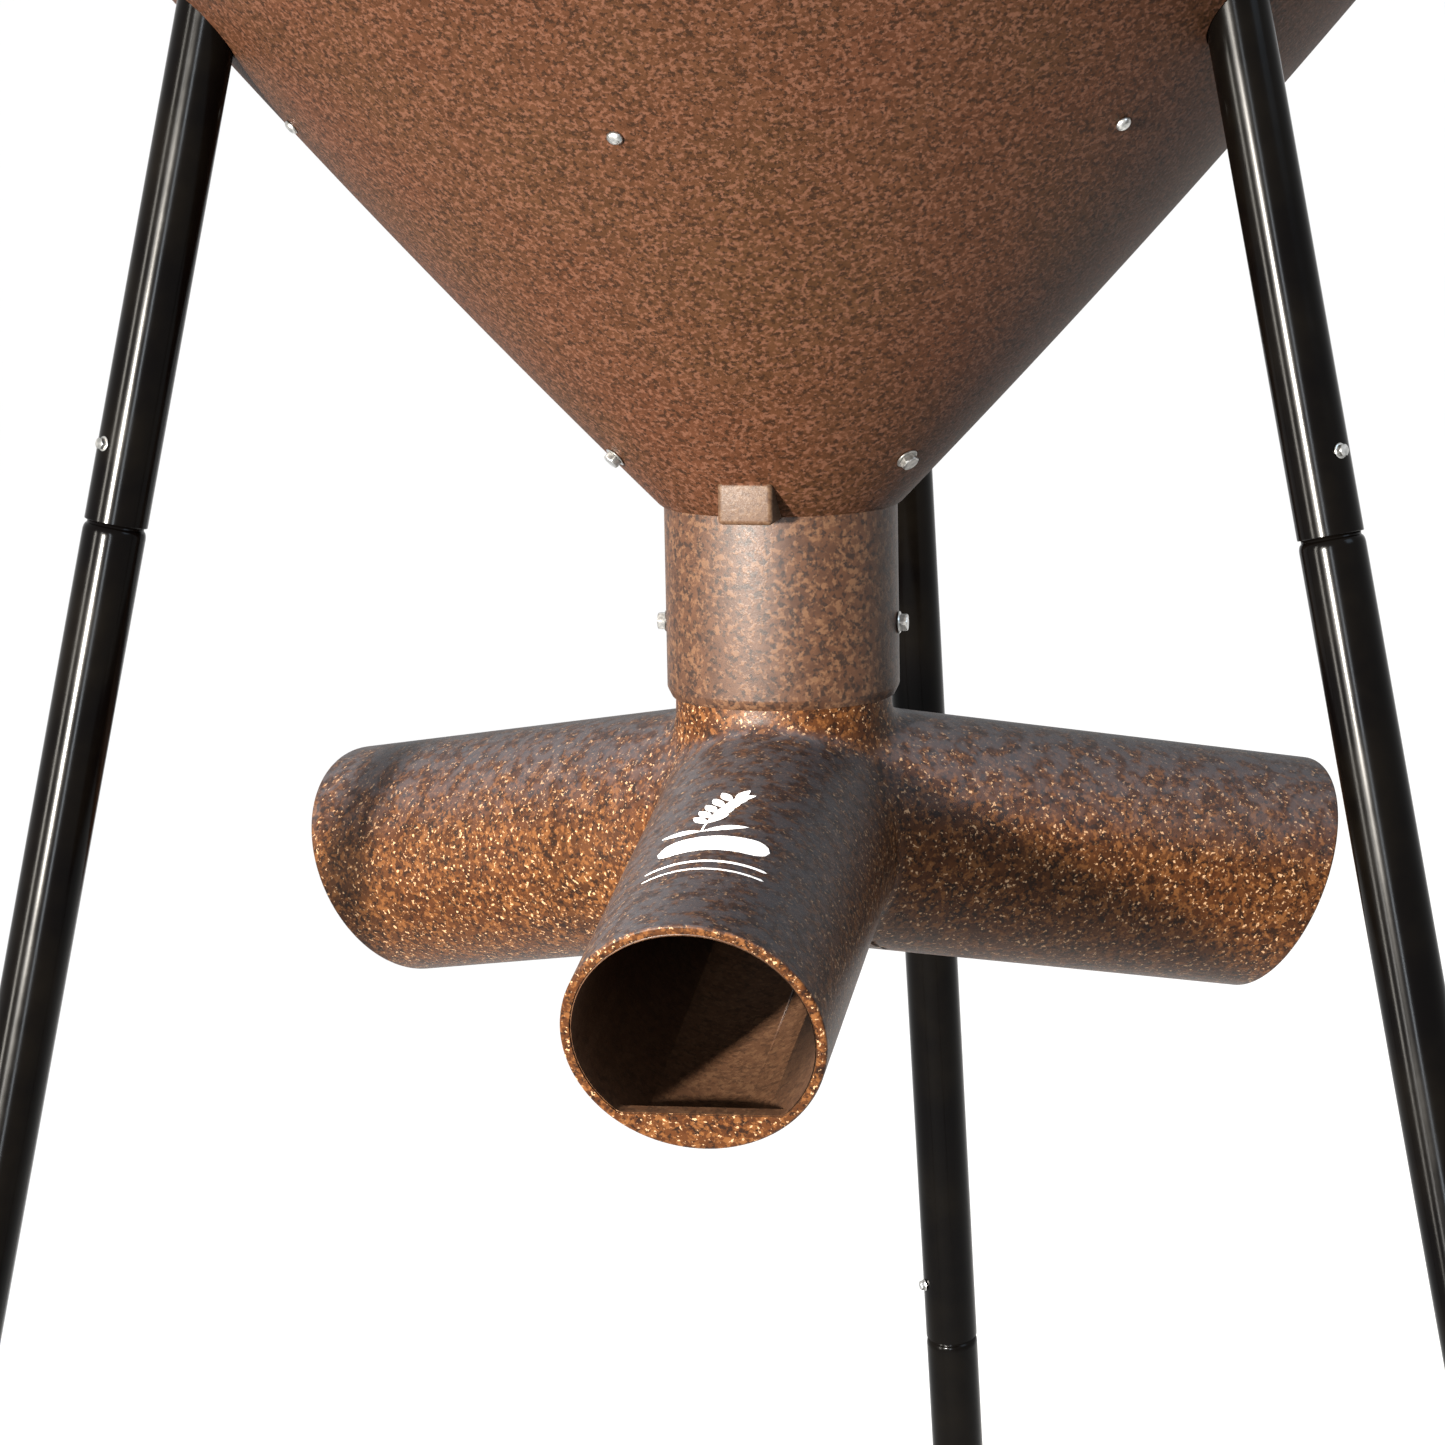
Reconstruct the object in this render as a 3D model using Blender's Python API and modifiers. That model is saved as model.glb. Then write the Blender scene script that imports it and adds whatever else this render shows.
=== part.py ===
"""Gravity game feeder on three sectional legs, modelled in metres with +Z up and its feet on z = 0.

The hopper hangs between the legs in moulded sockets. Under it a neck funnel and a three-port head let
the feed run down by its own weight. The lid turns under three catches and then lifts off.
"""

import math

import bmesh
import bpy
from mathutils import Matrix, Vector

# Driving dimensions ---------------------------------------------------------------------------------
GAP = 0.0003                # between touching pieces
CUT_MARGIN = 0.010          # cutters run this far past the faces they cut
LEG_RADIUS = 0.01905        # 1.5 inch tube
LEG_WALL = 0.0016
LEG_SPLAY = 0.222           # metres outward for each metre down
LEG_REACH = 0.7335          # from the hopper's axis to a leg's centre line at the floor
LEG_AZIMUTHS = {"left": -150.0, "right": -30.0, "back": 90.0}
LEG_SCREW_AZIMUTHS = {"left": -125.0, "right": -39.0, "back": -148.0}
JOINT_HEIGHTS = (0.7175, 1.4312)
LEG_TOP = 1.896
SWAGE_LENGTH = 0.080
SWAGE_SHOULDER = 0.005
SWAGE_STEP = 0.002
SHOULDER_OUT = 0.72         # the point that rounds the shoulder, as parts of its width and height
SHOULDER_DOWN = 0.28
LEG_SCREW_RISE = 0.046      # above its joint, along the leg

COLLAR_TOP = 1.418
COLLAR_HEIGHT = 0.1165
COLLAR_RADIUS = 0.0724
COLLAR_WALL = 0.004
COLLAR_CHAMFER = 0.006
LINER_TOP = 0.275           # above the collar's top

FUNNEL_FOOT = 0.003         # the hopper's lower edge, above the collar's top
FUNNEL_RADIUS = 0.0713      # of the cone, carried down to the collar's top
FUNNEL_SLOPE = 0.979
FUNNEL_BULGE = 0.194
FUNNEL_HEIGHT = 0.330
BARREL_RADIUS = 0.400
BARREL_TOP = 0.690
MOUTH_RADIUS = 0.372
MOUTH_TOP = 0.750
HOPPER_WALL = 0.005
HOOP_HEIGHTS = (0.475, 0.600)
HOOP_DEPTH = 0.004
HOOP_HALF_WIDTH = 0.020

SOCKET_WALL = 0.005
SOCKET_CLEARANCE = 0.0008
SOCKET_START = 1.60         # a height at which a leg is still outside the cone

LUG_AZIMUTH = -91.0
LUG_SIZE = (0.034, 0.034, 0.0265)
LUG_FACE = 0.097
LUG_FOOT = 0.001
LUG_ROUNDING = 0.004

CATCH_COUNT = 3
CATCH_ARC = 30.0
CATCH_TOP = 0.737
CATCH_DEPTH = 0.008
CATCH_HEIGHT = 0.008
LID_LUG_ARC = 24.0
LID_LUG_DROP = 0.004        # slack under a catch
LID_LUG_HEIGHT = 0.008
LID_LUG_BORE = 0.3745
LID_SKIRT_RADIUS = 0.390
LID_WALL = 0.0045
LID_FOOT = 0.7125
LID_SHOULDER = 0.760
LID_RISE = 0.062
LID_EDGE = 0.008            # rounding between skirt and dome
GASKET_SEAT = 0.012         # width of the flat ring inside the lid that presses on the gasket
GASKET_HEIGHT = 0.004
GASKET_WIDTH = 0.005
GRIP_SIZE = (0.210, 0.034, 0.045)
GRIP_FOOT = 0.795
GRIP_ROUNDING = 0.012

HEAD_TURN = 2.7             # the head is drilled this far round from midway between the legs
PORT_AZIMUTHS = (-90.0, 30.0, 150.0)
HUB_HEIGHT = 1.2224         # where the port centre lines meet
PORT_RADIUS = 0.0763
PORT_WALL = 0.0068
PORT_SLOPE = 10.6
PORT_LENGTH = 0.3433
PORT_END_LEAN = 12.5        # the cut end leans out at the top by this much past square
PORT_START = -0.020         # a port's solid and its bore start behind the hub
BORE_START = -0.006
DAM_TOP = 0.051             # flat-topped dam across each port's mouth, below the centre line
DAM_DEPTH = 0.009
DIVERTER_RADIUS = 0.0608    # of the cone that parts the feed between the ports
DIVERTER_FOOT = 0.086       # its foot and tip, below the hub
DIVERTER_TIP = 0.004
SPIGOT_RADIUS = 0.0673
SPIGOT_WALL = 0.004
SPIGOT_TOP = 1.392
HEAD_SCREW_HEIGHT = 1.3465

NECK_BOLT_AZIMUTHS = (-145.0, -33.5, 90.7)
NECK_BOLT_HEIGHT = 0.0385
FUNNEL_BOLT_AZIMUTHS = (-152.5, -95.3, -36.7, 22.5, 83.5, 145.0)
FUNNEL_BOLT_HEIGHT = 0.2437
NUT_SEAT = 0.0015           # a nut's flat face stands this far off the curved wall

# Fasteners: shank, head and flange sizes are radii, a hex's radius is to its corners
SCREW_SHANK = 0.0021
SCREW_FLANGE = 0.0045
SCREW_FLANGE_TOP = 0.0012
SCREW_HEAD = 0.0037
SCREW_HEAD_TOP = 0.0040
SCREW_LENGTH = 0.0075
HEAD_SCREW_SCALE = 1.55     # the head's screws against the legs' screws
NECK_BOLT_SHANK = 0.0030
NECK_BOLT_HEAD = 0.0058
NECK_BOLT_HEAD_HEIGHT = 0.0040
NECK_BOLT_END = 0.0065      # past the nut's seat
WASHER_RADIUS = 0.0070
WASHER_TOP = 0.0012
FUNNEL_BOLT_SHANK = 0.0025
FUNNEL_BOLT_HEAD = 0.0048
FUNNEL_BOLT_HEAD_HEIGHT = 0.0034
FUNNEL_BOLT_END = 0.0055
PAN_FLAT = 0.72             # a pan head's crown, as parts of its radius and height
PAN_CROWN = 0.9
PAN_SIDE = 0.6
FUNNEL_NUT_HEIGHT = 0.0040

CAP_RADIUS = 0.0225
CAP_HEIGHT = 0.046
CAP_FLOOR = 0.010

ROUND = 40                  # facets of the large turned shapes
PORT_ROUND = 48
TUBE_ROUND = 20
CONE_ROUND = 24
SMALL_ROUND = 12
CATCH_ROUND = 4
FOOT_ROUNDS = 20            # passes that settle where a wall meets a radius

# Derived dimensions ---------------------------------------------------------------------------------
LEG_TILT = math.atan(LEG_SPLAY)
COS_TILT = math.cos(LEG_TILT)
BACK_EDGE = LEG_REACH + CAP_RADIUS / COS_TILT
FRONT_EDGE = BARREL_RADIUS + HOOP_DEPTH
AXIS_Y = (FRONT_EDGE - BACK_EDGE) / 2       # puts the middle of the bounding box on the origin
STACK = HOPPER_WALL + GAP + COLLAR_WALL     # hopper wall, gap and liner, along the normal
THROAT_FOOT = HUB_HEIGHT + PORT_START       # well inside the hub
HEAD_DRILL_DEPTH = 2 * COLLAR_RADIUS + CUT_MARGIN       # through both sides of the collar
BORE_TURN = Matrix.Rotation(math.tau / PORT_ROUND / 4, 4, "Z")    # keeps bores from meeting edge on edge

# Colours (linear RGB), roughness and metallic value
FINISHES = {
    "hopper": ((0.115, 0.060, 0.037), 0.75, 0.0),
    "neck": ((0.150, 0.085, 0.055), 0.60, 0.0),
    "head": ((0.180, 0.085, 0.035), 0.45, 0.0),
    "leg": ((0.010, 0.010, 0.011), 0.18, 0.0),
    "zinc": ((0.620, 0.610, 0.580), 0.30, 1.0),
    "rubber": ((0.015, 0.015, 0.015), 0.80, 0.0),
}


# Scene helpers --------------------------------------------------------------------------------------
def clear_scene():
    for obj in list(bpy.data.objects):
        bpy.data.objects.remove(obj, do_unlink=True)


def make_collection(name):
    collection = bpy.data.collections.new(name)
    bpy.context.scene.collection.children.link(collection)
    return collection


def make_material(name):
    color, roughness, metallic = FINISHES[name]
    material = bpy.data.materials.new(name)
    material.use_nodes = True
    shader = material.node_tree.nodes["Principled BSDF"]
    shader.inputs["Base Color"].default_value = (*color, 1.0)
    shader.inputs["Roughness"].default_value = roughness
    shader.inputs["Metallic"].default_value = metallic
    material.diffuse_color = (*color, 1.0)
    return material


def direction(azimuth):
    angle = math.radians(azimuth)
    return Vector((math.cos(angle), math.sin(angle), 0.0))


def frame_matrix(origin, z_axis, x_hint):
    """A placement whose local +Z is z_axis and whose local +X leans to x_hint."""
    z_axis = z_axis.normalized()
    y_axis = z_axis.cross(x_hint).normalized()
    x_axis = y_axis.cross(z_axis)
    turn = Matrix((x_axis, y_axis, z_axis)).transposed().to_4x4()
    return Matrix.Translation(origin) @ turn


def axis_point(height, offset=None):
    """A point on the hopper's axis at this height above the floor, plus an offset."""
    return Vector((0.0, AXIS_Y, height)) + (offset or Vector())


def smooth(mesh, angle=35.0):
    mesh.shade_smooth()
    mesh.set_sharp_from_angle(angle=math.radians(angle))


def add_object(name, mesh, matrix, collection, material=None):
    obj = bpy.data.objects.new(name, mesh)
    collection.objects.link(obj)
    obj.matrix_world = matrix
    if material is not None:
        mesh.materials.clear()
        mesh.materials.append(material)
    return obj


def add_cutter(name, mesh, matrix):
    obj = add_object(name, mesh, matrix, CUTTERS)
    obj.hide_render = True
    obj.display_type = "WIRE"
    return obj


def boolean(obj, other, operation):
    modifier = obj.modifiers.new(other.name, "BOOLEAN")
    modifier.operation = operation
    modifier.solver = "EXACT"
    modifier.object = other


def baked_mesh(obj):
    """The object's mesh with its modifiers applied; the object itself goes."""
    bpy.context.view_layer.update()
    graph = bpy.context.evaluated_depsgraph_get()
    mesh = bpy.data.meshes.new_from_object(obj.evaluated_get(graph))
    mesh.name = obj.name
    bpy.data.objects.remove(obj, do_unlink=True)
    return mesh


def cylinder_mesh(name, radius, low, high, segments=SMALL_ROUND):
    """A cylinder round local Z from low to high."""
    mesh = bpy.data.meshes.new(name)
    shape = bmesh.new()
    bmesh.ops.create_cone(
        shape,
        cap_ends=True,
        segments=segments,
        radius1=radius,
        radius2=radius,
        depth=high - low,
        matrix=Matrix.Translation((0.0, 0.0, (low + high) / 2)),
    )
    shape.to_mesh(mesh)
    shape.free()
    return mesh


def cone_mesh(name, radius, low, high, segments):
    mesh = bpy.data.meshes.new(name)
    shape = bmesh.new()
    bmesh.ops.create_cone(
        shape,
        cap_ends=True,
        segments=segments,
        radius1=radius,
        radius2=0.0,
        depth=high - low,
        matrix=Matrix.Translation((0.0, 0.0, (low + high) / 2)),
    )
    shape.to_mesh(mesh)
    shape.free()
    return mesh


def box_mesh(name, size, rounding=0.0, segments=2):
    """A box centred on the origin, with its edges rounded."""
    mesh = bpy.data.meshes.new(name)
    shape = bmesh.new()
    bmesh.ops.create_cube(shape, size=1.0)
    bmesh.ops.scale(shape, vec=size, verts=shape.verts)
    if rounding:
        bmesh.ops.bevel(
            shape,
            geom=shape.edges,
            offset=rounding,
            segments=segments,
            profile=0.5,
            affect="EDGES",
        )
    shape.to_mesh(mesh)
    shape.free()
    return mesh


def turned_mesh(name, profile, segments, closed=False):
    """A turned shape. The profile of (radius, height) points runs down its outer side."""
    mesh = bpy.data.meshes.new(name)
    shape = bmesh.new()
    points = [shape.verts.new((radius, 0.0, height)) for radius, height in profile]
    for first, second in zip(points, points[1:]):
        shape.edges.new((first, second))
    if closed:
        shape.edges.new((points[-1], points[0]))
    shape.to_mesh(mesh)
    shape.free()
    obj = add_object(name, mesh, Matrix(), CUTTERS)
    screw = obj.modifiers.new("Turn", "SCREW")
    screw.angle = math.tau
    screw.steps = segments
    screw.render_steps = segments
    screw.use_merge_vertices = True
    screw.merge_threshold = 0.00001
    return baked_mesh(obj)


def turned_arc_mesh(name, inner, outer, low, high, arc):
    """A block of a ring, centred on local +X: a flat outline on the ring's plane, extruded."""
    half = math.radians(arc) / 2
    angles = [-half + 2 * half * step / CATCH_ROUND for step in range(CATCH_ROUND + 1)]
    outline = [(outer * math.cos(a), outer * math.sin(a)) for a in angles]
    outline += [(inner * math.cos(a), inner * math.sin(a)) for a in reversed(angles)]
    mesh = bpy.data.meshes.new(name)
    shape = bmesh.new()
    face = shape.faces.new([shape.verts.new((x, y, low)) for x, y in outline])
    raised = bmesh.ops.extrude_face_region(shape, geom=[face])["geom"]
    lift = Vector((0.0, 0.0, high - low))
    bmesh.ops.translate(shape, vec=lift, verts=[g for g in raised if isinstance(g, bmesh.types.BMVert)])
    bmesh.ops.recalc_face_normals(shape, faces=shape.faces)
    shape.to_mesh(mesh)
    shape.free()
    return mesh


def arc_points(center, radius, start, stop, steps):
    """Points on an arc in the (radius, height) plane, angles in degrees from the +radius direction."""
    points = []
    for step in range(steps + 1):
        angle = math.radians(start + (stop - start) * step / steps)
        points.append((center[0] + radius * math.cos(angle), center[1] + radius * math.sin(angle)))
    return points


# Legs -----------------------------------------------------------------------------------------------
def leg_matrix(name, height):
    """A placement on a leg's centre line at this height, local +Z up along the leg."""
    outward = direction(LEG_AZIMUTHS[name])
    origin = axis_point(height, outward * (LEG_REACH - LEG_SPLAY * height))
    upward = Vector((0.0, 0.0, 1.0)) - outward * LEG_SPLAY
    return frame_matrix(origin, upward, outward)


def screw_matrix(name, joint_height):
    """A placement on a leg's surface where the joint's screw sits, local +Z pointing out of the tube."""
    height = joint_height + LEG_SCREW_RISE * COS_TILT
    leg = leg_matrix(name, height)
    upward = leg.to_3x3() @ Vector((0.0, 0.0, 1.0))
    facing = direction(LEG_SCREW_AZIMUTHS[name])
    facing = (facing - upward * facing.dot(upward)).normalized()
    return frame_matrix(leg.translation + facing * LEG_RADIUS, facing, upward)


def tube_profile(length, swaged):
    """Outer side from the top down, then the bore from the bottom up. Local z = 0 is the lower end."""
    bore = LEG_RADIUS - LEG_WALL
    if not swaged:
        return [(LEG_RADIUS, length), (LEG_RADIUS, 0.0), (bore, 0.0), (bore, length)]
    slim = bore - GAP
    full = length - SWAGE_SHOULDER
    outer = [(slim, length + SWAGE_LENGTH), (slim, length)]
    outer += [(slim + (LEG_RADIUS - slim) * SHOULDER_OUT, length - SWAGE_SHOULDER * SHOULDER_DOWN)]
    outer += [(LEG_RADIUS, full), (LEG_RADIUS, 0.0)]
    inner = [(bore, 0.0), (bore, full - LEG_WALL), (slim - LEG_WALL, length - LEG_WALL)]
    inner += [(slim - LEG_WALL, length + SWAGE_LENGTH)]
    return outer + inner


def build_leg_section(kind, name, low, high, swaged, screw_joints):
    """One tube between two heights, with a hole for each screw that passes through it."""
    length = (high - low) / COS_TILT - (SWAGE_STEP if swaged else 0.0)
    mesh = turned_mesh(f"leg_{kind}_{name}", tube_profile(length, swaged), TUBE_ROUND, closed=True)
    smooth(mesh)
    tube = add_object(f"leg_{kind}_{name}", mesh, leg_matrix(name, low), PARTS, MATERIALS["leg"])
    for joint_height in screw_joints:
        boolean(tube, LEG_DRILLS[name, joint_height], "DIFFERENCE")


def build_leg_drills():
    drills = {}
    for name in LEG_AZIMUTHS:
        for level, joint_height in enumerate(JOINT_HEIGHTS):
            mesh = cylinder_mesh("drill", SCREW_SHANK + GAP, -SCREW_LENGTH - GAP, CUT_MARGIN)
            matrix = screw_matrix(name, joint_height)
            drills[name, joint_height] = add_cutter(f"leg_drill_{name}_{level}", mesh, matrix)
    return drills


def build_legs():
    lower_joint, upper_joint = JOINT_HEIGHTS
    foot = CAP_FLOOR
    for name in LEG_AZIMUTHS:
        build_leg_section("lower", name, foot, lower_joint, True, [lower_joint])
        build_leg_section("middle", name, lower_joint, upper_joint, True, [lower_joint, upper_joint])
        build_leg_section("upper", name, upper_joint, LEG_TOP, False, [upper_joint])


def build_foot_caps():
    """A rubber cap on each leg's end, cut level so that it stands flat on the floor."""
    span = 3 * LEG_REACH
    below = Matrix.Translation((0.0, 0.0, -CAP_HEIGHT / 2))
    floor_cut = add_cutter("floor_cut", box_mesh("floor_cut", (span, span, CAP_HEIGHT)), below)
    for name in LEG_AZIMUTHS:
        mesh = cylinder_mesh("cap", CAP_RADIUS, -CUT_MARGIN, CAP_HEIGHT, TUBE_ROUND)
        smooth(mesh)
        cap = add_object(f"foot_cap_{name}", mesh, leg_matrix(name, 0.0), PARTS, MATERIALS["rubber"])
        bore_low = CAP_FLOOR / COS_TILT - GAP
        bore = cylinder_mesh("cap_bore", LEG_RADIUS + GAP, bore_low, CAP_HEIGHT + CUT_MARGIN, TUBE_ROUND)
        boolean(cap, add_cutter(f"cap_bore_{name}", bore, leg_matrix(name, 0.0)), "DIFFERENCE")
        boolean(cap, floor_cut, "DIFFERENCE")


# Fasteners ------------------------------------------------------------------------------------------
def hex_mesh(name, radius, low, high):
    """A hexagonal prism; radius is to its corners."""
    return cylinder_mesh(name, radius, low, high, 6)


def joined_mesh(name, first, others):
    """One body from overlapping meshes."""
    base = add_object(name, first, Matrix(), CUTTERS)
    helpers = []
    for number, mesh in enumerate(others):
        helpers.append(add_object(f"{name}_{number}", mesh, Matrix(), CUTTERS))
        boolean(base, helpers[-1], "UNION")
    mesh = baked_mesh(base)
    for helper in helpers:
        bpy.data.objects.remove(helper, do_unlink=True)
    smooth(mesh)
    return mesh


def screw_mesh(scale):
    """Hex washer-head self-drilling screw. Local z = 0 is the underside of the flange."""
    flange_top = SCREW_FLANGE_TOP * scale
    overlap = GAP
    flange = cylinder_mesh("flange", SCREW_FLANGE * scale, GAP, flange_top, SMALL_ROUND)
    head = hex_mesh("head", SCREW_HEAD * scale, flange_top - overlap, SCREW_HEAD_TOP * scale)
    end = -SCREW_LENGTH * math.sqrt(scale)
    shank = cylinder_mesh("shank", SCREW_SHANK * scale, end, flange_top - overlap / 2, SMALL_ROUND)
    return joined_mesh("hex_screw", flange, [head, shank])


def neck_bolt_mesh():
    """Hex bolt whose head stands on its washer."""
    foot = WASHER_TOP + GAP
    end = -(STACK + NUT_SEAT + NECK_BOLT_END)
    head = hex_mesh("head", NECK_BOLT_HEAD, foot, foot + NECK_BOLT_HEAD_HEIGHT)
    shank = cylinder_mesh("shank", NECK_BOLT_SHANK, end, foot + 0.0010, SMALL_ROUND)
    return joined_mesh("neck_bolt", head, [shank])


def funnel_bolt_mesh():
    """Small pan-head bolt: a low dome on a shank."""
    head, top, shank = FUNNEL_BOLT_HEAD, FUNNEL_BOLT_HEAD_HEIGHT, FUNNEL_BOLT_SHANK
    end = -(STACK + NUT_SEAT + FUNNEL_BOLT_END)
    profile = [(0.0, top), (head * PAN_FLAT, top * PAN_CROWN), (head, top * PAN_SIDE), (head, GAP)]
    profile += [(shank, GAP), (shank, end), (0.0, end)]
    mesh = turned_mesh("funnel_bolt", profile, SMALL_ROUND)
    smooth(mesh)
    return mesh


def ring_mesh(name, inner, outer, low, high, segments):
    profile = [(outer, high), (outer, low), (inner, low), (inner, high)]
    mesh = turned_mesh(name, profile, segments, closed=True)
    smooth(mesh)
    return mesh


def nut_mesh(name, radius, bore, thickness):
    """A hex nut from z = 0 down to -thickness, with a clear hole for its bolt."""
    nut = add_object(name, hex_mesh(name, radius, -thickness, 0.0), Matrix(), CUTTERS)
    hole_mesh = cylinder_mesh("nut_hole", bore, -thickness - CUT_MARGIN, CUT_MARGIN)
    hole = add_object("nut_hole", hole_mesh, Matrix(), CUTTERS)
    boolean(nut, hole, "DIFFERENCE")
    mesh = baked_mesh(nut)
    bpy.data.objects.remove(hole, do_unlink=True)
    smooth(mesh)
    return mesh


def funnel_radius(height):
    """Outer radius of the cone at this height above the collar's top."""
    return FUNNEL_RADIUS + FUNNEL_SLOPE * height - FUNNEL_BULGE * height**2


def funnel_slope(height):
    return FUNNEL_SLOPE - 2 * FUNNEL_BULGE * height


def funnel_matrix(azimuth, height):
    """A placement on the cone's outer surface, local +Z along its outward normal."""
    outward = direction(azimuth)
    normal = outward - Vector((0.0, 0.0, funnel_slope(height)))
    origin = axis_point(COLLAR_TOP + height, outward * funnel_radius(height))
    return frame_matrix(origin, normal, Vector((0.0, 0.0, 1.0)))


def build_funnel_fasteners():
    """Bolts, washers and nuts that hold the neck funnel in the hopper, and the holes they pass through."""
    zinc = MATERIALS["zinc"]
    bolt = neck_bolt_mesh()
    washer = ring_mesh("neck_washer", NECK_BOLT_SHANK + GAP, WASHER_RADIUS, GAP, WASHER_TOP, SMALL_ROUND)
    nut = nut_mesh("neck_nut", NECK_BOLT_HEAD, NECK_BOLT_SHANK + GAP, NECK_BOLT_HEAD_HEIGHT)
    drills = []
    for number, azimuth in enumerate(NECK_BOLT_AZIMUTHS, 1):
        matrix = funnel_matrix(azimuth, NECK_BOLT_HEIGHT)
        add_object(f"neck_bolt_{number}", bolt, matrix, PARTS, zinc)
        add_object(f"neck_washer_{number}", washer, matrix, PARTS, zinc)
        seat = matrix @ Matrix.Translation((0.0, 0.0, -STACK - NUT_SEAT))
        add_object(f"neck_nut_{number}", nut, seat, PARTS, zinc)
        hole = cylinder_mesh("drill", NECK_BOLT_SHANK + GAP, -STACK - CUT_MARGIN, CUT_MARGIN)
        drills.append(add_cutter(f"neck_drill_{number}", hole, matrix))
    bolt = funnel_bolt_mesh()
    nut = nut_mesh("funnel_nut", FUNNEL_BOLT_HEAD, FUNNEL_BOLT_SHANK + GAP, FUNNEL_NUT_HEIGHT)
    for number, azimuth in enumerate(FUNNEL_BOLT_AZIMUTHS, 1):
        matrix = funnel_matrix(azimuth, FUNNEL_BOLT_HEIGHT)
        add_object(f"funnel_bolt_{number}", bolt, matrix, PARTS, zinc)
        seat = matrix @ Matrix.Translation((0.0, 0.0, -STACK - NUT_SEAT))
        add_object(f"funnel_nut_{number}", nut, seat, PARTS, zinc)
        hole = cylinder_mesh("drill", FUNNEL_BOLT_SHANK + GAP, -STACK - CUT_MARGIN, CUT_MARGIN)
        drills.append(add_cutter(f"funnel_drill_{number}", hole, matrix))
    return drills


def head_screw_matrix(side):
    """A placement on the collar's surface a quarter turn from the front port, local +Z pointing out."""
    outward = direction(HEAD_TURN + (0.0 if side == "right" else 180.0))
    origin = axis_point(HEAD_SCREW_HEIGHT, outward * COLLAR_RADIUS)
    return frame_matrix(origin, outward, Vector((0.0, 0.0, 1.0)))


def build_screws():
    """The self-drilling screws of the leg joints and of the head."""
    mesh = screw_mesh(1.0)
    zinc = MATERIALS["zinc"]
    for name in LEG_AZIMUTHS:
        for kind, joint_height in zip(("lower", "upper"), JOINT_HEIGHTS):
            matrix = screw_matrix(name, joint_height)
            add_object(f"leg_screw_{kind}_{name}", mesh, matrix, PARTS, zinc)
    mesh = screw_mesh(HEAD_SCREW_SCALE)
    for side in ("left", "right"):
        add_object(f"head_screw_{side}", mesh, head_screw_matrix(side), PARTS, zinc)


# Hopper ---------------------------------------------------------------------------------------------
def cone_points(inset, low, high, steps):
    """Cone profile from the top down, moved in along its normal by inset."""
    points = []
    for step in range(steps + 1):
        height = high + (low - high) * step / steps
        slant = math.hypot(1.0, funnel_slope(height))
        points.append((funnel_radius(height) - inset * slant, COLLAR_TOP + height))
    return points


def shoulder_points(inset):
    """The bend from the barrel wall down into the cone, as an arc that meets both without a corner."""
    lean = math.degrees(math.atan(funnel_slope(FUNNEL_HEIGHT)))
    run = BARREL_RADIUS - funnel_radius(FUNNEL_HEIGHT)
    bend = run / (1.0 - math.cos(math.radians(lean)))
    center = (BARREL_RADIUS - bend, COLLAR_TOP + FUNNEL_HEIGHT + bend * math.sin(math.radians(lean)))
    return arc_points(center, bend - inset, 0.0, -lean, 4)


def hoop_points():
    """Two moulded stiffening hoops on the barrel, from the top down."""
    points = []
    for height in reversed(HOOP_HEIGHTS):
        middle = COLLAR_TOP + height
        points.append((BARREL_RADIUS, middle + HOOP_HALF_WIDTH))
        points.append((BARREL_RADIUS + HOOP_DEPTH, middle + HOOP_HALF_WIDTH / 2))
        points.append((BARREL_RADIUS + HOOP_DEPTH, middle - HOOP_HALF_WIDTH / 2))
        points.append((BARREL_RADIUS, middle - HOOP_HALF_WIDTH))
    return points


def hopper_profile(inset, top, cone_foot, foot_radius, foot):
    """Profile of the hopper moved in by inset, closed on the axis at the top and the foot.

    The cone runs down to cone_foot and the outline goes on from there to foot_radius at foot.
    """
    mouth = MOUTH_RADIUS - inset
    bend = BARREL_RADIUS - MOUTH_RADIUS
    center = (mouth, COLLAR_TOP + BARREL_TOP - bend)
    profile = [(0.0, COLLAR_TOP + top), (mouth, COLLAR_TOP + top)]
    profile += arc_points(center, bend, 90.0, 0.0, 3)
    if not inset:
        profile += hoop_points()
    profile += shoulder_points(inset)
    profile += cone_points(inset, cone_foot, FUNNEL_HEIGHT, 6)[1:]
    if foot < cone_foot:
        profile.append((foot_radius, COLLAR_TOP + foot))
    profile.append((0.0, COLLAR_TOP + foot))
    return profile


def foot_height(radius, inset):
    """Height above the collar's top at which the cone, moved in by inset, has this radius."""
    height = 0.0
    for _ in range(FOOT_ROUNDS):
        slant = math.hypot(1.0, funnel_slope(height))
        height += (radius - funnel_radius(height) + inset * slant) / FUNNEL_SLOPE
    return height


def socket_cutters(kind, radius, top):
    """Slanted cylinders on the legs' centre lines, from outside the cone up to this height."""
    cutters = []
    for name in LEG_AZIMUTHS:
        mesh = cylinder_mesh(kind, radius, 0.0, (top - SOCKET_START) / COS_TILT, TUBE_ROUND)
        cutters.append(add_cutter(f"{kind}_{name}", mesh, leg_matrix(name, SOCKET_START)))
    return cutters


def ring_turn(number):
    """Placement of one of the catches, or of the lid's lugs under them."""
    return Matrix.Rotation(math.radians(90.0 + 360.0 / CATCH_COUNT * number), 4, "Z")


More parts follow.
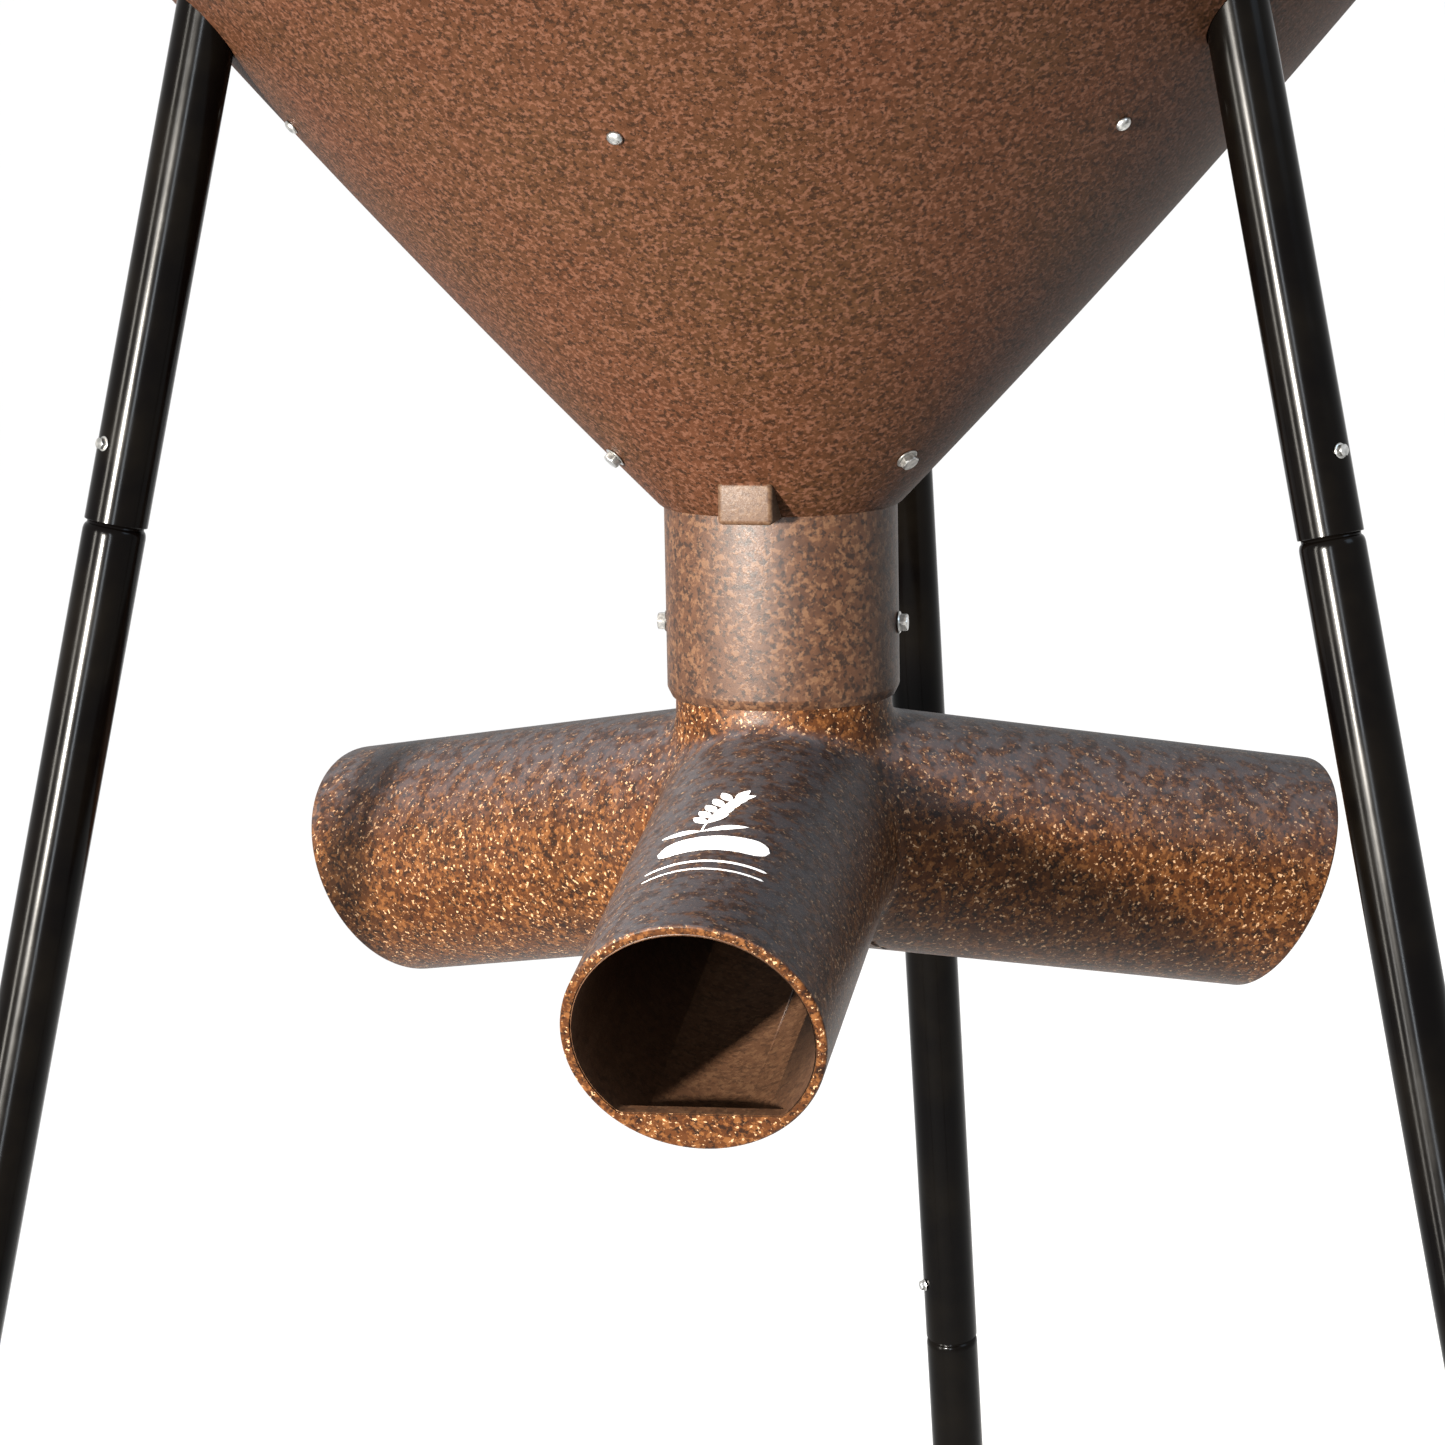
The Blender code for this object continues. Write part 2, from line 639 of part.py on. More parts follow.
def build_catches():
    """Three catches round the hopper's mouth, under which the lid's lugs turn."""
    axis = Matrix.Translation(axis_point(0.0))
    root = MOUTH_RADIUS - HOPPER_WALL / 2
    tip = MOUTH_RADIUS + CATCH_DEPTH
    high = COLLAR_TOP + CATCH_TOP
    catches = []
    for number in range(CATCH_COUNT):
        mesh = turned_arc_mesh("catch", root, tip, high - CATCH_HEIGHT, high, CATCH_ARC)
        catches.append(add_cutter(f"catch_{number}", mesh, axis @ ring_turn(number)))
    return catches


def build_lug():
    """The square lug on the cone's foot, beside the collar's top."""
    middle = COLLAR_TOP + LUG_FOOT + LUG_SIZE[2] / 2
    center = axis_point(middle, direction(LUG_AZIMUTH) * (LUG_FACE - LUG_SIZE[0] / 2))
    turn = Matrix.Rotation(math.radians(LUG_AZIMUTH), 4, "Z")
    return add_cutter("lug", box_mesh("lug", LUG_SIZE, LUG_ROUNDING), Matrix.Translation(center) @ turn)


def build_hopper(drills):
    """Rotomoulded hopper: barrel, cone, mouth with catches, leg sockets and a lug over the collar."""
    axis = Matrix.Translation(axis_point(0.0))
    outer = turned_mesh("hopper", hopper_profile(0.0, MOUTH_TOP, FUNNEL_FOOT, None, FUNNEL_FOOT), ROUND)
    hole = COLLAR_RADIUS + GAP
    cone_foot = foot_height(hole, HOPPER_WALL)
    inner = hopper_profile(HOPPER_WALL, MOUTH_TOP + CUT_MARGIN, cone_foot, hole, -CUT_MARGIN)
    cavity = add_cutter("cavity", turned_mesh("cavity", inner, ROUND), axis)
    bore_radius = LEG_RADIUS + SOCKET_CLEARANCE
    for socket in socket_cutters("socket", bore_radius + SOCKET_WALL, LEG_TOP + SOCKET_WALL):
        boolean(cavity, socket, "DIFFERENCE")
    smooth(outer)
    hopper = add_object("hopper", outer, axis, PARTS, MATERIALS["hopper"])
    boolean(hopper, build_lug(), "UNION")
    for catch in build_catches():
        boolean(hopper, catch, "UNION")
    boolean(hopper, cavity, "DIFFERENCE")
    for bore in socket_cutters("socket_bore", bore_radius, LEG_TOP + GAP):
        boolean(hopper, bore, "DIFFERENCE")
    for drill in drills:
        boolean(hopper, drill, "DIFFERENCE")


# Neck funnel ----------------------------------------------------------------------------------------
def build_neck_funnel(drills, head_drill):
    """The collar and the cone above it, which lines the hopper's foot, as one moulding."""
    bottom = COLLAR_TOP - COLLAR_HEIGHT
    inset = HOPPER_WALL + GAP
    bend = foot_height(COLLAR_RADIUS, inset)
    outer = cone_points(inset, bend, LINER_TOP, 5)
    outer += [(COLLAR_RADIUS, bottom + COLLAR_CHAMFER), (COLLAR_RADIUS - COLLAR_CHAMFER / 2, bottom)]
    bore = COLLAR_RADIUS - COLLAR_WALL
    inner_bend = foot_height(bore, inset + COLLAR_WALL)
    inner = cone_points(inset + COLLAR_WALL, inner_bend, LINER_TOP, 5)
    profile = outer + [(bore, bottom)] + inner[::-1]
    mesh = turned_mesh("neck_funnel", profile, ROUND, closed=True)
    smooth(mesh)
    neck = add_object("neck_funnel", mesh, Matrix.Translation(axis_point(0.0)), PARTS, MATERIALS["neck"])
    for drill in drills + [head_drill]:
        boolean(neck, drill, "DIFFERENCE")


# Three-port head ------------------------------------------------------------------------------------
def port_matrix(azimuth):
    """A placement at the hub, local +Z down along the port and local +X up across it."""
    outward = direction(azimuth + HEAD_TURN)
    slope = math.radians(PORT_SLOPE)
    along = outward * math.cos(slope) - Vector((0.0, 0.0, math.sin(slope)))
    return frame_matrix(axis_point(HUB_HEIGHT), along, Vector((0.0, 0.0, 1.0)))


def lean_end(mesh, start):
    """Slants the part of a port's mesh past start, so that its end leans out at the top."""
    lean = math.tan(math.radians(PORT_END_LEAN))
    for vertex in mesh.vertices:
        if vertex.co.z > start:
            vertex.co.z += vertex.co.x * lean
    return mesh


def dam_mesh():
    """What stays of the wall under a port's mouth: a block below the dam's top."""
    size = (PORT_RADIUS, 2 * PORT_RADIUS, DAM_DEPTH + CUT_MARGIN)
    center = (-DAM_TOP - PORT_RADIUS / 2, 0.0, PORT_LENGTH - DAM_DEPTH + size[2] / 2)
    mesh = box_mesh("dam", size)
    mesh.transform(Matrix.Translation(center))
    return lean_end(mesh, 0.0)


def build_head(head_drill):
    """The gravity head: a spigot into the collar, three sloping ports and a cone between them."""
    head_axis = Matrix.Translation(axis_point(0.0)) @ Matrix.Rotation(math.radians(HEAD_TURN), 4, "Z")
    throat_radius = SPIGOT_RADIUS - SPIGOT_WALL
    throat = cylinder_mesh("throat", throat_radius, THROAT_FOOT, SPIGOT_TOP + CUT_MARGIN, PORT_ROUND)
    feed_way = add_cutter("feed_way", throat, head_axis)
    mesh = cylinder_mesh("gravity_head", SPIGOT_RADIUS, HUB_HEIGHT, SPIGOT_TOP, PORT_ROUND)
    smooth(mesh)
    head = add_object("gravity_head", mesh, head_axis, PARTS, MATERIALS["head"])
    for number, azimuth in enumerate(PORT_AZIMUTHS):
        placement = port_matrix(azimuth)
        port = cylinder_mesh("port", PORT_RADIUS, PORT_START, PORT_LENGTH, PORT_ROUND)
        boolean(head, add_cutter(f"port_{number}", lean_end(port, 0.0), placement), "UNION")
        bore_end = PORT_LENGTH + CUT_MARGIN / 2
        bore = cylinder_mesh("bore", PORT_RADIUS - PORT_WALL, BORE_START, bore_end, PORT_ROUND)
        bore.transform(BORE_TURN)
        bore_cutter = add_cutter(f"port_bore_{number}", lean_end(bore, 0.0), placement)
        boolean(bore_cutter, add_cutter(f"dam_{number}", dam_mesh(), placement), "DIFFERENCE")
        boolean(feed_way, bore_cutter, "UNION")
    foot = HUB_HEIGHT - DIVERTER_FOOT
    cone = cone_mesh("diverter", DIVERTER_RADIUS, foot, HUB_HEIGHT - DIVERTER_TIP, CONE_ROUND)
    boolean(feed_way, add_cutter("diverter", cone, head_axis), "DIFFERENCE")
    boolean(head, feed_way, "DIFFERENCE")
    boolean(head, head_drill, "DIFFERENCE")


# Lid ------------------------------------------------------------------------------------------------
def dome_points(radius, low, rise, steps):
    """A dome profile from its top on the axis down to its rim, as an arc of a circle."""
    sphere = (radius**2 + rise**2) / (2 * rise)
    half = math.asin(radius / sphere)
    points = []
    for step in range(steps + 1):
        angle = half * step / steps
        points.append((sphere * math.sin(angle), low + rise - sphere * (1 - math.cos(angle))))
    return points


def build_lid():
    """Domed lid with a skirt, three lugs inside it and a moulded grip across its top."""
    axis = Matrix.Translation(axis_point(0.0))
    foot = COLLAR_TOP + LID_FOOT
    shoulder = COLLAR_TOP + LID_SHOULDER
    skirt_bore = LID_SKIRT_RADIUS - LID_WALL
    edge = LID_SKIRT_RADIUS - LID_EDGE
    outer = dome_points(edge, shoulder, LID_RISE, 7)
    outer += arc_points((edge, shoulder - LID_EDGE), LID_EDGE, 75.0, 0.0, 2)
    outer += [(LID_SKIRT_RADIUS, foot)]
    ceiling = COLLAR_TOP + MOUTH_TOP + GASKET_HEIGHT + 2 * GAP
    dome_bore = MOUTH_RADIUS - GASKET_SEAT
    inner = [(skirt_bore, foot), (skirt_bore, ceiling), (dome_bore, ceiling)]
    inner += dome_points(dome_bore, ceiling, LID_RISE, 6)[:-1][::-1]
    mesh = turned_mesh("lid", outer + inner, ROUND)
    smooth(mesh)
    lid = add_object("lid", mesh, axis, PARTS, MATERIALS["hopper"])
    grip_place = Matrix.Translation(axis_point(COLLAR_TOP + GRIP_FOOT + GRIP_SIZE[2] / 2))
    boolean(lid, add_cutter("grip", box_mesh("grip", GRIP_SIZE, GRIP_ROUNDING, 3), grip_place), "UNION")
    high = COLLAR_TOP + CATCH_TOP - CATCH_HEIGHT - LID_LUG_DROP
    low = high - LID_LUG_HEIGHT
    root = LID_SKIRT_RADIUS - LID_WALL / 2
    for number in range(CATCH_COUNT):
        mesh = turned_arc_mesh("lid_lug", LID_LUG_BORE, root, low, high, LID_LUG_ARC)
        boolean(lid, add_cutter(f"lid_lug_{number}", mesh, axis @ ring_turn(number)), "UNION")


def build_gasket():
    low = COLLAR_TOP + MOUTH_TOP + GAP
    outer = MOUTH_RADIUS
    mesh = ring_mesh("lid_gasket", outer - GASKET_WIDTH, outer, low, low + GASKET_HEIGHT, ROUND)
    add_object("lid_gasket", mesh, Matrix.Translation(axis_point(0.0)), PARTS, MATERIALS["rubber"])


clear_scene()
PARTS = make_collection("gravity_game_feeder")
CUTTERS = make_collection("cutters")
MATERIALS = {name: make_material(name) for name in FINISHES}

LEG_DRILLS = build_leg_drills()
build_legs()
build_foot_caps()
build_screws()
funnel_drills = build_funnel_fasteners()
screw_drill = add_cutter(
    "head_drill",
    cylinder_mesh("head_drill", SCREW_SHANK * HEAD_SCREW_SCALE + GAP, -HEAD_DRILL_DEPTH, CUT_MARGIN),
    head_screw_matrix("right"),
)
build_hopper(funnel_drills)
build_neck_funnel(funnel_drills, screw_drill)
build_head(screw_drill)
build_lid()
build_gasket()
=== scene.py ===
"""Looks of the gravity game feeder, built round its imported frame. Metres, +Z up."""

import math

import bmesh
import bpy
import numpy as np
from mathutils import Matrix, Vector


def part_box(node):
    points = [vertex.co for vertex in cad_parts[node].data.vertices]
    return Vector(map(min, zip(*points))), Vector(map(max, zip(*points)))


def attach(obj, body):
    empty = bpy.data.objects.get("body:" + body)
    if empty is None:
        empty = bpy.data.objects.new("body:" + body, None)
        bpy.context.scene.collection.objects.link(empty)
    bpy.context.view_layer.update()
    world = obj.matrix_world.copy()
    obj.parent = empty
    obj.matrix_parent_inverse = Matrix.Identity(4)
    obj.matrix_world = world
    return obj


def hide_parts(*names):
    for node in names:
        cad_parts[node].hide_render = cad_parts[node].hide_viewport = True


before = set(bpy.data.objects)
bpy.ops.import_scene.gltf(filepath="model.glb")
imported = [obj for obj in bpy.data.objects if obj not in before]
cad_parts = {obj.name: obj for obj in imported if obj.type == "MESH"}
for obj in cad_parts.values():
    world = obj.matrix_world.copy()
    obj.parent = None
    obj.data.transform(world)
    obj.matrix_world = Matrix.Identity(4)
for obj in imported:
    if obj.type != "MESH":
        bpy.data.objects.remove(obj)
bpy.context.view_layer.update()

FEEDER = "feeder_frame"
LID = "lid"
SEAL = "lid_seal"

# Driving dimensions ---------------------------------------------------------------------------------
LID_LOW, LID_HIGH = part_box("lid")
COLLAR_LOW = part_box("neck_funnel")[0]
AXIS = Vector((0.0, (LID_LOW.y + LID_HIGH.y) / 2, 0.0))     # the hopper's axis, at the floor

LEG_RADIUS = 0.01905
LEG_WALL = 0.0016
LEG_SPLAY = 0.222
LEG_REACH = 0.7335
LEG_AZIMUTHS = {"left": -150.0, "right": -30.0, "back": 90.0}
LEG_SCREW_AZIMUTHS = {"left": -125.0, "right": -39.0, "back": -148.0}
JOINT_HEIGHTS = (0.7175, 1.4312)
LEG_TOP = 1.896
LEG_FOOT = 0.010
LEG_SCREW_RISE = 0.046
SWAGE_LENGTH = 0.080
SWAGE_SHOULDER = 0.005
SWAGE_STEP = 0.002
FIT = 0.0003                # slack between a tube and what it goes into
LEG_TILT = math.atan(LEG_SPLAY)
COS_TILT = math.cos(LEG_TILT)

COLLAR_TOP = 1.418
COLLAR_BOTTOM = COLLAR_LOW.z
COLLAR_RADIUS = 0.0724
COLLAR_WALL = 0.004
LINER_TOP = 0.275

FUNNEL_FOOT = 0.003
FUNNEL_RADIUS = 0.0713
FUNNEL_SLOPE = 0.979
FUNNEL_BULGE = 0.194
FUNNEL_HEIGHT = 0.330
BARREL_RADIUS = 0.400
BARREL_TOP = 0.690
MOUTH_RADIUS = 0.372
MOUTH_TOP = 0.750
HOPPER_WALL = 0.005
HOOP_HEIGHTS = (0.475, 0.600)
HOOP_DEPTH = 0.004
HOOP_HALF_WIDTH = 0.020
SOCKET_RADIUS = LEG_RADIUS + 0.0008
SOCKET_WALL = 0.005
SOCKET_START = 1.60         # the sockets' sleeves begin at this height, outside the cone

LUG_AZIMUTH = -91.0
LUG_SIZE = (0.034, 0.034, 0.0265)
LUG_FACE = 0.097
LUG_FOOT = 0.001
LUG_ROUNDING = 0.0032

CATCH_ARC = 30.0
CATCH_TOP = 0.737
CATCH_SIZE = (0.008, 0.008)
CATCH_ROUNDING = 0.0014
LID_LUG_BORE = 0.3745
LID_LUG_DROP = 0.004        # from the catches' undersides down to the lid's lugs
LID_LUG_HEIGHT = 0.008
LID_LUG_ARC = 24.0
LID_SKIRT_RADIUS = 0.390
LID_WALL = 0.0045
LID_FOOT = 0.7125
LID_SHOULDER = 0.760
LID_RISE = 0.062
GASKET_HEIGHT = 0.004
GASKET_WIDTH = 0.005
GRIP_SIZE = (0.210, 0.034, 0.045)
GRIP_FOOT = 0.795

HEAD_TURN = 2.7
PORT_AZIMUTHS = (-90.0, 30.0, 150.0)
HUB_HEIGHT = 1.2224
PORT_RADIUS = 0.0763
PORT_WALL = 0.0068
PORT_SLOPE = 10.6
PORT_START = -0.020
BORE_START = -0.006
LIP_FACING = 0.9            # a face turned this far down the port is its rim
PORT_LENGTH = 0.3433
PORT_END_LEAN = 12.5
PORT_FLOOR = 0.051          # the dam's flat top, below the centre line
DAM_DEPTH = 0.009
DIVERTER_RADIUS = 0.0608
DIVERTER_FOOT = 0.086       # the cone's foot and tip, below the hub
DIVERTER_TIP = 0.004
SPIGOT_RADIUS = 0.0673
SPIGOT_WALL = 0.004
SPIGOT_TOP = 1.392
HEAD_SCREW_HEIGHT = 1.3465
HEAD_SOFTNESS = 0.0036      # how widely the ports and the spigot flow into each other
LIP_ROUNDING = 0.0022
BORE_FLARE = 0.0012

PRINT_HEIGHT = 0.0002       # the print stands this far off the front port
PRINT_TOP = 0.158           # down the port from the hub
PRINT_CENTER = 0.003        # round the port, from its top line
PRINT_WIDTH = 0.074
HEAD_VOXEL = 0.004

NECK_BOLT_AZIMUTHS = (-145.0, -33.5, 90.7)
NECK_BOLT_HEIGHT = 0.0385
NECK_BOLT_HOLE = 0.0033
FUNNEL_BOLT_AZIMUTHS = (-152.5, -95.3, -36.7, 22.5, 83.5, 145.0)
FUNNEL_BOLT_HEIGHT = 0.2437
FUNNEL_BOLT_HOLE = 0.0028
LEG_SCREW_HOLE = 0.0024
HEAD_SCREW_HOLE = 0.0036
HEAD_SCREW_SCALE = 1.55     # the head's screws against the legs' screws
WASHER_TOP = 0.0012

CAP_RADIUS = 0.0223
CAP_HEIGHT = 0.046

STACK = HOPPER_WALL + FIT + COLLAR_WALL     # hopper wall, gap and liner, along the normal
NUT_SEAT = 0.0015

WORLD_LIGHT = 1.10          # just over white, so that the floor comes out white too
STRIP_HEIGHT = 1.35         # middle of the tall strip lights, and what they face
STRIP_LENGTH = 2.6
STRIP_SPREAD = 70.0

FINE = 160                  # facets of the large turned pieces
MEDIUM = 96
SMALL = 32


# Geometry helpers -----------------------------------------------------------------------------------
def direction(azimuth):
    angle = math.radians(azimuth)
    return Vector((math.cos(angle), math.sin(angle), 0.0))


def frame_matrix(origin, z_axis, x_hint):
    z_axis = z_axis.normalized()
    y_axis = z_axis.cross(x_hint).normalized()
    x_axis = y_axis.cross(z_axis)
    return Matrix.Translation(origin) @ Matrix((x_axis, y_axis, z_axis)).transposed().to_4x4()


def axis_point(height, offset=None):
    return AXIS + Vector((0.0, 0.0, height)) + (offset or Vector())


def add_piece(name, mesh, material, body, replaces=(), sharp=35.0):
    """Links a mesh as a visible piece that rides on a body."""
    mesh.materials.clear()
    mesh.materials.append(material)
    mesh.shade_smooth()
    mesh.set_sharp_from_angle(angle=math.radians(sharp))
    obj = bpy.data.objects.new(name, mesh)
    bpy.context.scene.collection.objects.link(obj)
    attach(obj, body)
    if replaces:
        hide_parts(*replaces)
    return obj


def temp_object(mesh):
    obj = bpy.data.objects.new("temp", mesh)
    bpy.context.scene.collection.objects.link(obj)
    return obj


def evaluated(obj):
    """The mesh of an object with its modifiers applied; the object itself goes."""
    bpy.context.view_layer.update()
    graph = bpy.context.evaluated_depsgraph_get()
    mesh = bpy.data.meshes.new_from_object(obj.evaluated_get(graph))
    bpy.data.objects.remove(obj, do_unlink=True)
    return mesh


def combined(base, steps):
    """A mesh after a row of Booleans, each an (operation, mesh) pair."""
    obj = temp_object(base)
    others = []
    for operation, mesh in steps:
        other = temp_object(mesh)
        others.append(other)
        modifier = obj.modifiers.new("Boolean", "BOOLEAN")
        modifier.operation = operation
        modifier.solver = "EXACT"
        modifier.object = other
    mesh = evaluated(obj)
    for other in others:
        bpy.data.objects.remove(other, do_unlink=True)
    return mesh


def grid_mesh(name, rings, closed=False, capped=False):
    """Quads between rings of points. A closed stack joins its last ring to its first."""
    mesh = bpy.data.meshes.new(name)
    shape = bmesh.new()
    rows = [[shape.verts.new(point) for point in ring] for ring in rings]
    pairs = list(zip(rows, rows[1:]))
    if closed:
        pairs.append((rows[-1], rows[0]))
    for lower, upper in pairs:
        for i in range(len(lower)):
            j = (i + 1) % len(lower)
            shape.faces.new((lower[i], lower[j], upper[j], upper[i]))
    if capped:
        shape.faces.new(list(reversed(rows[0])))
        shape.faces.new(rows[-1])
    bmesh.ops.remove_doubles(shape, verts=shape.verts, dist=0.000002)
    bmesh.ops.recalc_face_normals(shape, faces=shape.faces)
    shape.to_mesh(mesh)
    shape.free()
    return mesh


def turned(name, profile, segments, matrix=None, closed=True):
    """A turned shape about local Z from (radius, height) points."""
    rings = []
    for radius, height in profile:
        ring = []
        for step in range(segments):
            angle = math.tau * step / segments
            ring.append((radius * math.cos(angle), radius * math.sin(angle), height))
        rings.append(ring)
    mesh = grid_mesh(name, rings, closed=closed)
    if matrix is not None:
        mesh.transform(matrix)
    return mesh


def cylinder(name, radius, low, high, segments, matrix=None):
    return turned(name, [(0.0, low), (radius, low), (radius, high), (0.0, high)], segments, matrix, False)


def arc(center, radius, start, stop, steps):
    points = []
    for step in range(steps + 1):
        angle = math.radians(start + (stop - start) * step / steps)
        points.append((center[0] + radius * math.cos(angle), center[1] + radius * math.sin(angle)))
    return points


def rounded(points, steps=4):
    """A closed outline whose corners are rounded: points are (radius, height, rounding)."""
    outline = []
    for index, (x, y, rounding) in enumerate(points):
        corner = Vector((x, y))
        if rounding <= 0.0:
            outline.append((x, y))
            continue
        before = Vector(points[index - 1][:2]) - corner
        after = Vector(points[(index + 1) % len(points)][:2]) - corner
        reach = min(rounding, before.length * 0.49, after.length * 0.49)
        start = corner + before.normalized() * reach
        stop = corner + after.normalized() * reach
        for step in range(steps + 1):
            t = step / steps
            point = start * (1 - t) ** 2 + corner * (2 * t * (1 - t)) + stop * t**2
            outline.append((point.x, point.y))
    return outline


def box_block(name, size, rounding, segments, matrix):
    mesh = bpy.data.meshes.new(name)
    shape = bmesh.new()
    bmesh.ops.create_cube(shape, size=1.0)
    bmesh.ops.scale(shape, vec=size, verts=shape.verts)
    edges = list(shape.edges)
    bmesh.ops.bevel(shape, geom=edges, offset=rounding, segments=segments, profile=0.5, affect="EDGES")
    shape.to_mesh(mesh)
    shape.free()
    mesh.transform(matrix)
    return mesh


def arc_block(name, inner, outer, low, high, span, matrix, rounding):
    """A block of a ring, centred on local +X, with its edges rounded."""
    steps = 16
    angles = [math.radians(span) * (step / steps - 0.5) for step in range(steps + 1)]
    outline = [(outer * math.cos(a), outer * math.sin(a)) for a in angles]
    outline += [(inner * math.cos(a), inner * math.sin(a)) for a in reversed(angles)]
    rings = [[(x, y, low) for x, y in outline], [(x, y, high) for x, y in outline]]
    mesh = grid_mesh(name, rings, capped=True)
    shape = bmesh.new()
    shape.from_mesh(mesh)
    sharp = [edge for edge in shape.edges if edge.calc_face_angle(0.0) > math.radians(40.0)]
    bmesh.ops.bevel(shape, geom=sharp, offset=rounding, segments=3, profile=0.5, affect="EDGES")
    shape.to_mesh(mesh)
    shape.free()
    mesh.transform(matrix)
    return mesh


# Materials ------------------------------------------------------------------------------------------
class Nodes:
    """A short way to write a material's node tree."""

    def __init__(self, name):
        self.material = bpy.data.materials.new(name)
        self.material.use_nodes = True
        self.tree = self.material.node_tree
        self.shader = self.tree.nodes["Principled BSDF"]

    def add(self, kind, settings=None, **inputs):
        node = self.tree.nodes.new(kind)
        for key, value in (settings or {}).items():
            setattr(node, key, value)
        for key, value in inputs.items():
            self.put(node.inputs[key.replace("_", " ")], value)
        return node

    def put(self, socket, value):
        if isinstance(value, bpy.types.NodeSocket):
            self.tree.links.new(value, socket)
        else:
            socket.default_value = value

    def set(self, **inputs):
        for key, value in inputs.items():
            self.put(self.shader.inputs[key.replace("_", " ")], value)

    def coords(self):
        return self.add("ShaderNodeTexCoord").outputs["Object"]

    def math(self, operation, first, second):
        node = self.add("ShaderNodeMath", {"operation": operation})
        self.put(node.inputs[0], first)
        self.put(node.inputs[1], second)
        return node.outputs[0]

    def noise(self, vector, scale, detail=2.0, roughness=0.5):
        node = self.add("ShaderNodeTexNoise", Vector=vector, Scale=scale, Detail=detail, Roughness=roughness)
        return node.outputs["Fac"]

    def grains(self, vector, scale, seed, low, high):
        """Irregular patches, 0 between them and 1 in them; another seed gives other patches."""
        node = self.add("ShaderNodeTexNoise", {"noise_dimensions": "4D"}, Vector=vector, Scale=scale)
        self.put(node.inputs["W"], seed)
        self.put(node.inputs["Detail"], 2.0)
        self.put(node.inputs["Roughness"], 0.6)
        return self.step(node.outputs["Fac"], low, high)

    def step(self, value, low, high, rises=True):
        """0 to 1 as value goes from low to high, or 1 to 0."""
        node = self.add("ShaderNodeMapRange", {"interpolation_type": "SMOOTHSTEP"}, Value=value)
        self.put(node.inputs["From Min"], low)
        self.put(node.inputs["From Max"], high)
        self.put(node.inputs["To Min"], 0.0 if rises else 1.0)
        self.put(node.inputs["To Max"], 1.0 if rises else 0.0)
        return node.outputs["Result"]

    def mix(self, factor, first, second):
        node = self.add("ShaderNodeMix", {"data_type": "RGBA"})
        self.put(node.inputs["Factor"], factor)
        self.put(node.inputs[6], first)
        self.put(node.inputs[7], second)
        return node.outputs[2]

    def blend_value(self, factor, first, second):
        node = self.add("ShaderNodeMix", {"data_type": "FLOAT"})
        self.put(node.inputs[0], factor)
        self.put(node.inputs[2], first)
        self.put(node.inputs[3], second)
        return node.outputs[0]

    def bump(self, height, strength, distance):
        node = self.add("ShaderNodeBump", Strength=strength, Distance=distance, Height=height)
        return node.outputs["Normal"]


def rgb(red, green, blue):
    return (red, green, blue, 1.0)


def speckled_plastic(name, tones, scale, roughness, specular, flake_glints=0.0, sky_sheen=0.0):
    """Rotomoulded polyethylene: irregular dark and light grains in a coloured ground.

    The tones are the ground, its slow drift, the dark grains, the light grains, the flakes, painted bright
    for their glints, and the painted grey-blue sky sheen laid on faces that look up. The scale is that of the
    grains.
    """
    ground, drifted, dark, light, glinting_flake, sky_sheen_tone = tones
    nodes = Nodes(name)
    vector = nodes.coords()
    drift = nodes.noise(vector, 9.0, 3.0, 0.55)
    blotch = nodes.noise(vector, scale * 0.35, 2.0, 0.6)
    fine = nodes.noise(vector, 1100.0, 2.0, 0.6)
    tone = nodes.mix(nodes.step(drift, 0.3, 0.7), ground, drifted)
    darker = nodes.mix(0.30, tone, dark)
    lighter = nodes.mix(0.12, tone, light)
    tone = nodes.mix(nodes.step(blotch, 0.35, 0.65), darker, lighter)
    dark_grain = nodes.grains(vector, scale, 1.7, 0.50, 0.60)
    light_grain = nodes.grains(vector, scale * 1.1, 8.3, 0.49, 0.63)
    tone = nodes.mix(nodes.math("MULTIPLY", dark_grain, 0.85), tone, dark)
    tone = nodes.mix(nodes.math("MULTIPLY", light_grain, 0.75), tone, light)
    # Flakes: real flecks in the plastic, painted bright to stand in for their glints, a painted highlight.
    if flake_glints:
        glinting_flake_grain = nodes.grains(vector, scale * 1.5, 4.9, 0.62 - flake_glints, 0.70 - flake_glints)
        tone = nodes.mix(glinting_flake_grain, tone, glinting_flake)
    # Painted sky reflection: a grey-blue tone laid on faces that look up, in patches; thickness is how
    # strongly it is laid on.
    if sky_sheen:
        coords = nodes.add("ShaderNodeTexCoord")
        split = nodes.add("ShaderNodeSeparateXYZ", Vector=coords.outputs["Normal"])
        upward = nodes.step(split.outputs["Z"], 0.10, 0.98)
        thickness = nodes.blend_value(nodes.step(blotch, 0.40, 0.60), sky_sheen * 0.35, sky_sheen)
        tone = nodes.mix(nodes.math("MULTIPLY", upward, thickness), tone, sky_sheen_tone)
    height = nodes.math("ADD", nodes.math("MULTIPLY", light_grain, 0.4), nodes.math("MULTIPLY", fine, 0.6))
    rough = nodes.blend_value(nodes.step(fine, 0.35, 0.65), roughness - 0.06, roughness + 0.06)
    nodes.set(Base_Color=tone, Roughness=rough, Specular_IOR_Level=specular)
    nodes.set(Normal=nodes.bump(height, 0.22, 0.0005))
    return nodes.material


def hopper_plastic():
    tones = (rgb(0.0215, 0.0074, 0.0030), rgb(0.0184, 0.0077, 0.0028), rgb(0.0066, 0.0029, 0.0013),
             rgb(0.0450, 0.0196, 0.0115), None, None)
    return speckled_plastic("hopper_plastic", tones, 300.0, 0.58, 0.05)


def lug_plastic():
    tones = (rgb(0.0290, 0.0150, 0.0080), rgb(0.0275, 0.0150, 0.0084), rgb(0.0180, 0.0088, 0.0046),
             rgb(0.0385, 0.0225, 0.0130), None, None)
    return speckled_plastic("lug_plastic", tones, 300.0, 0.50, 0.10)


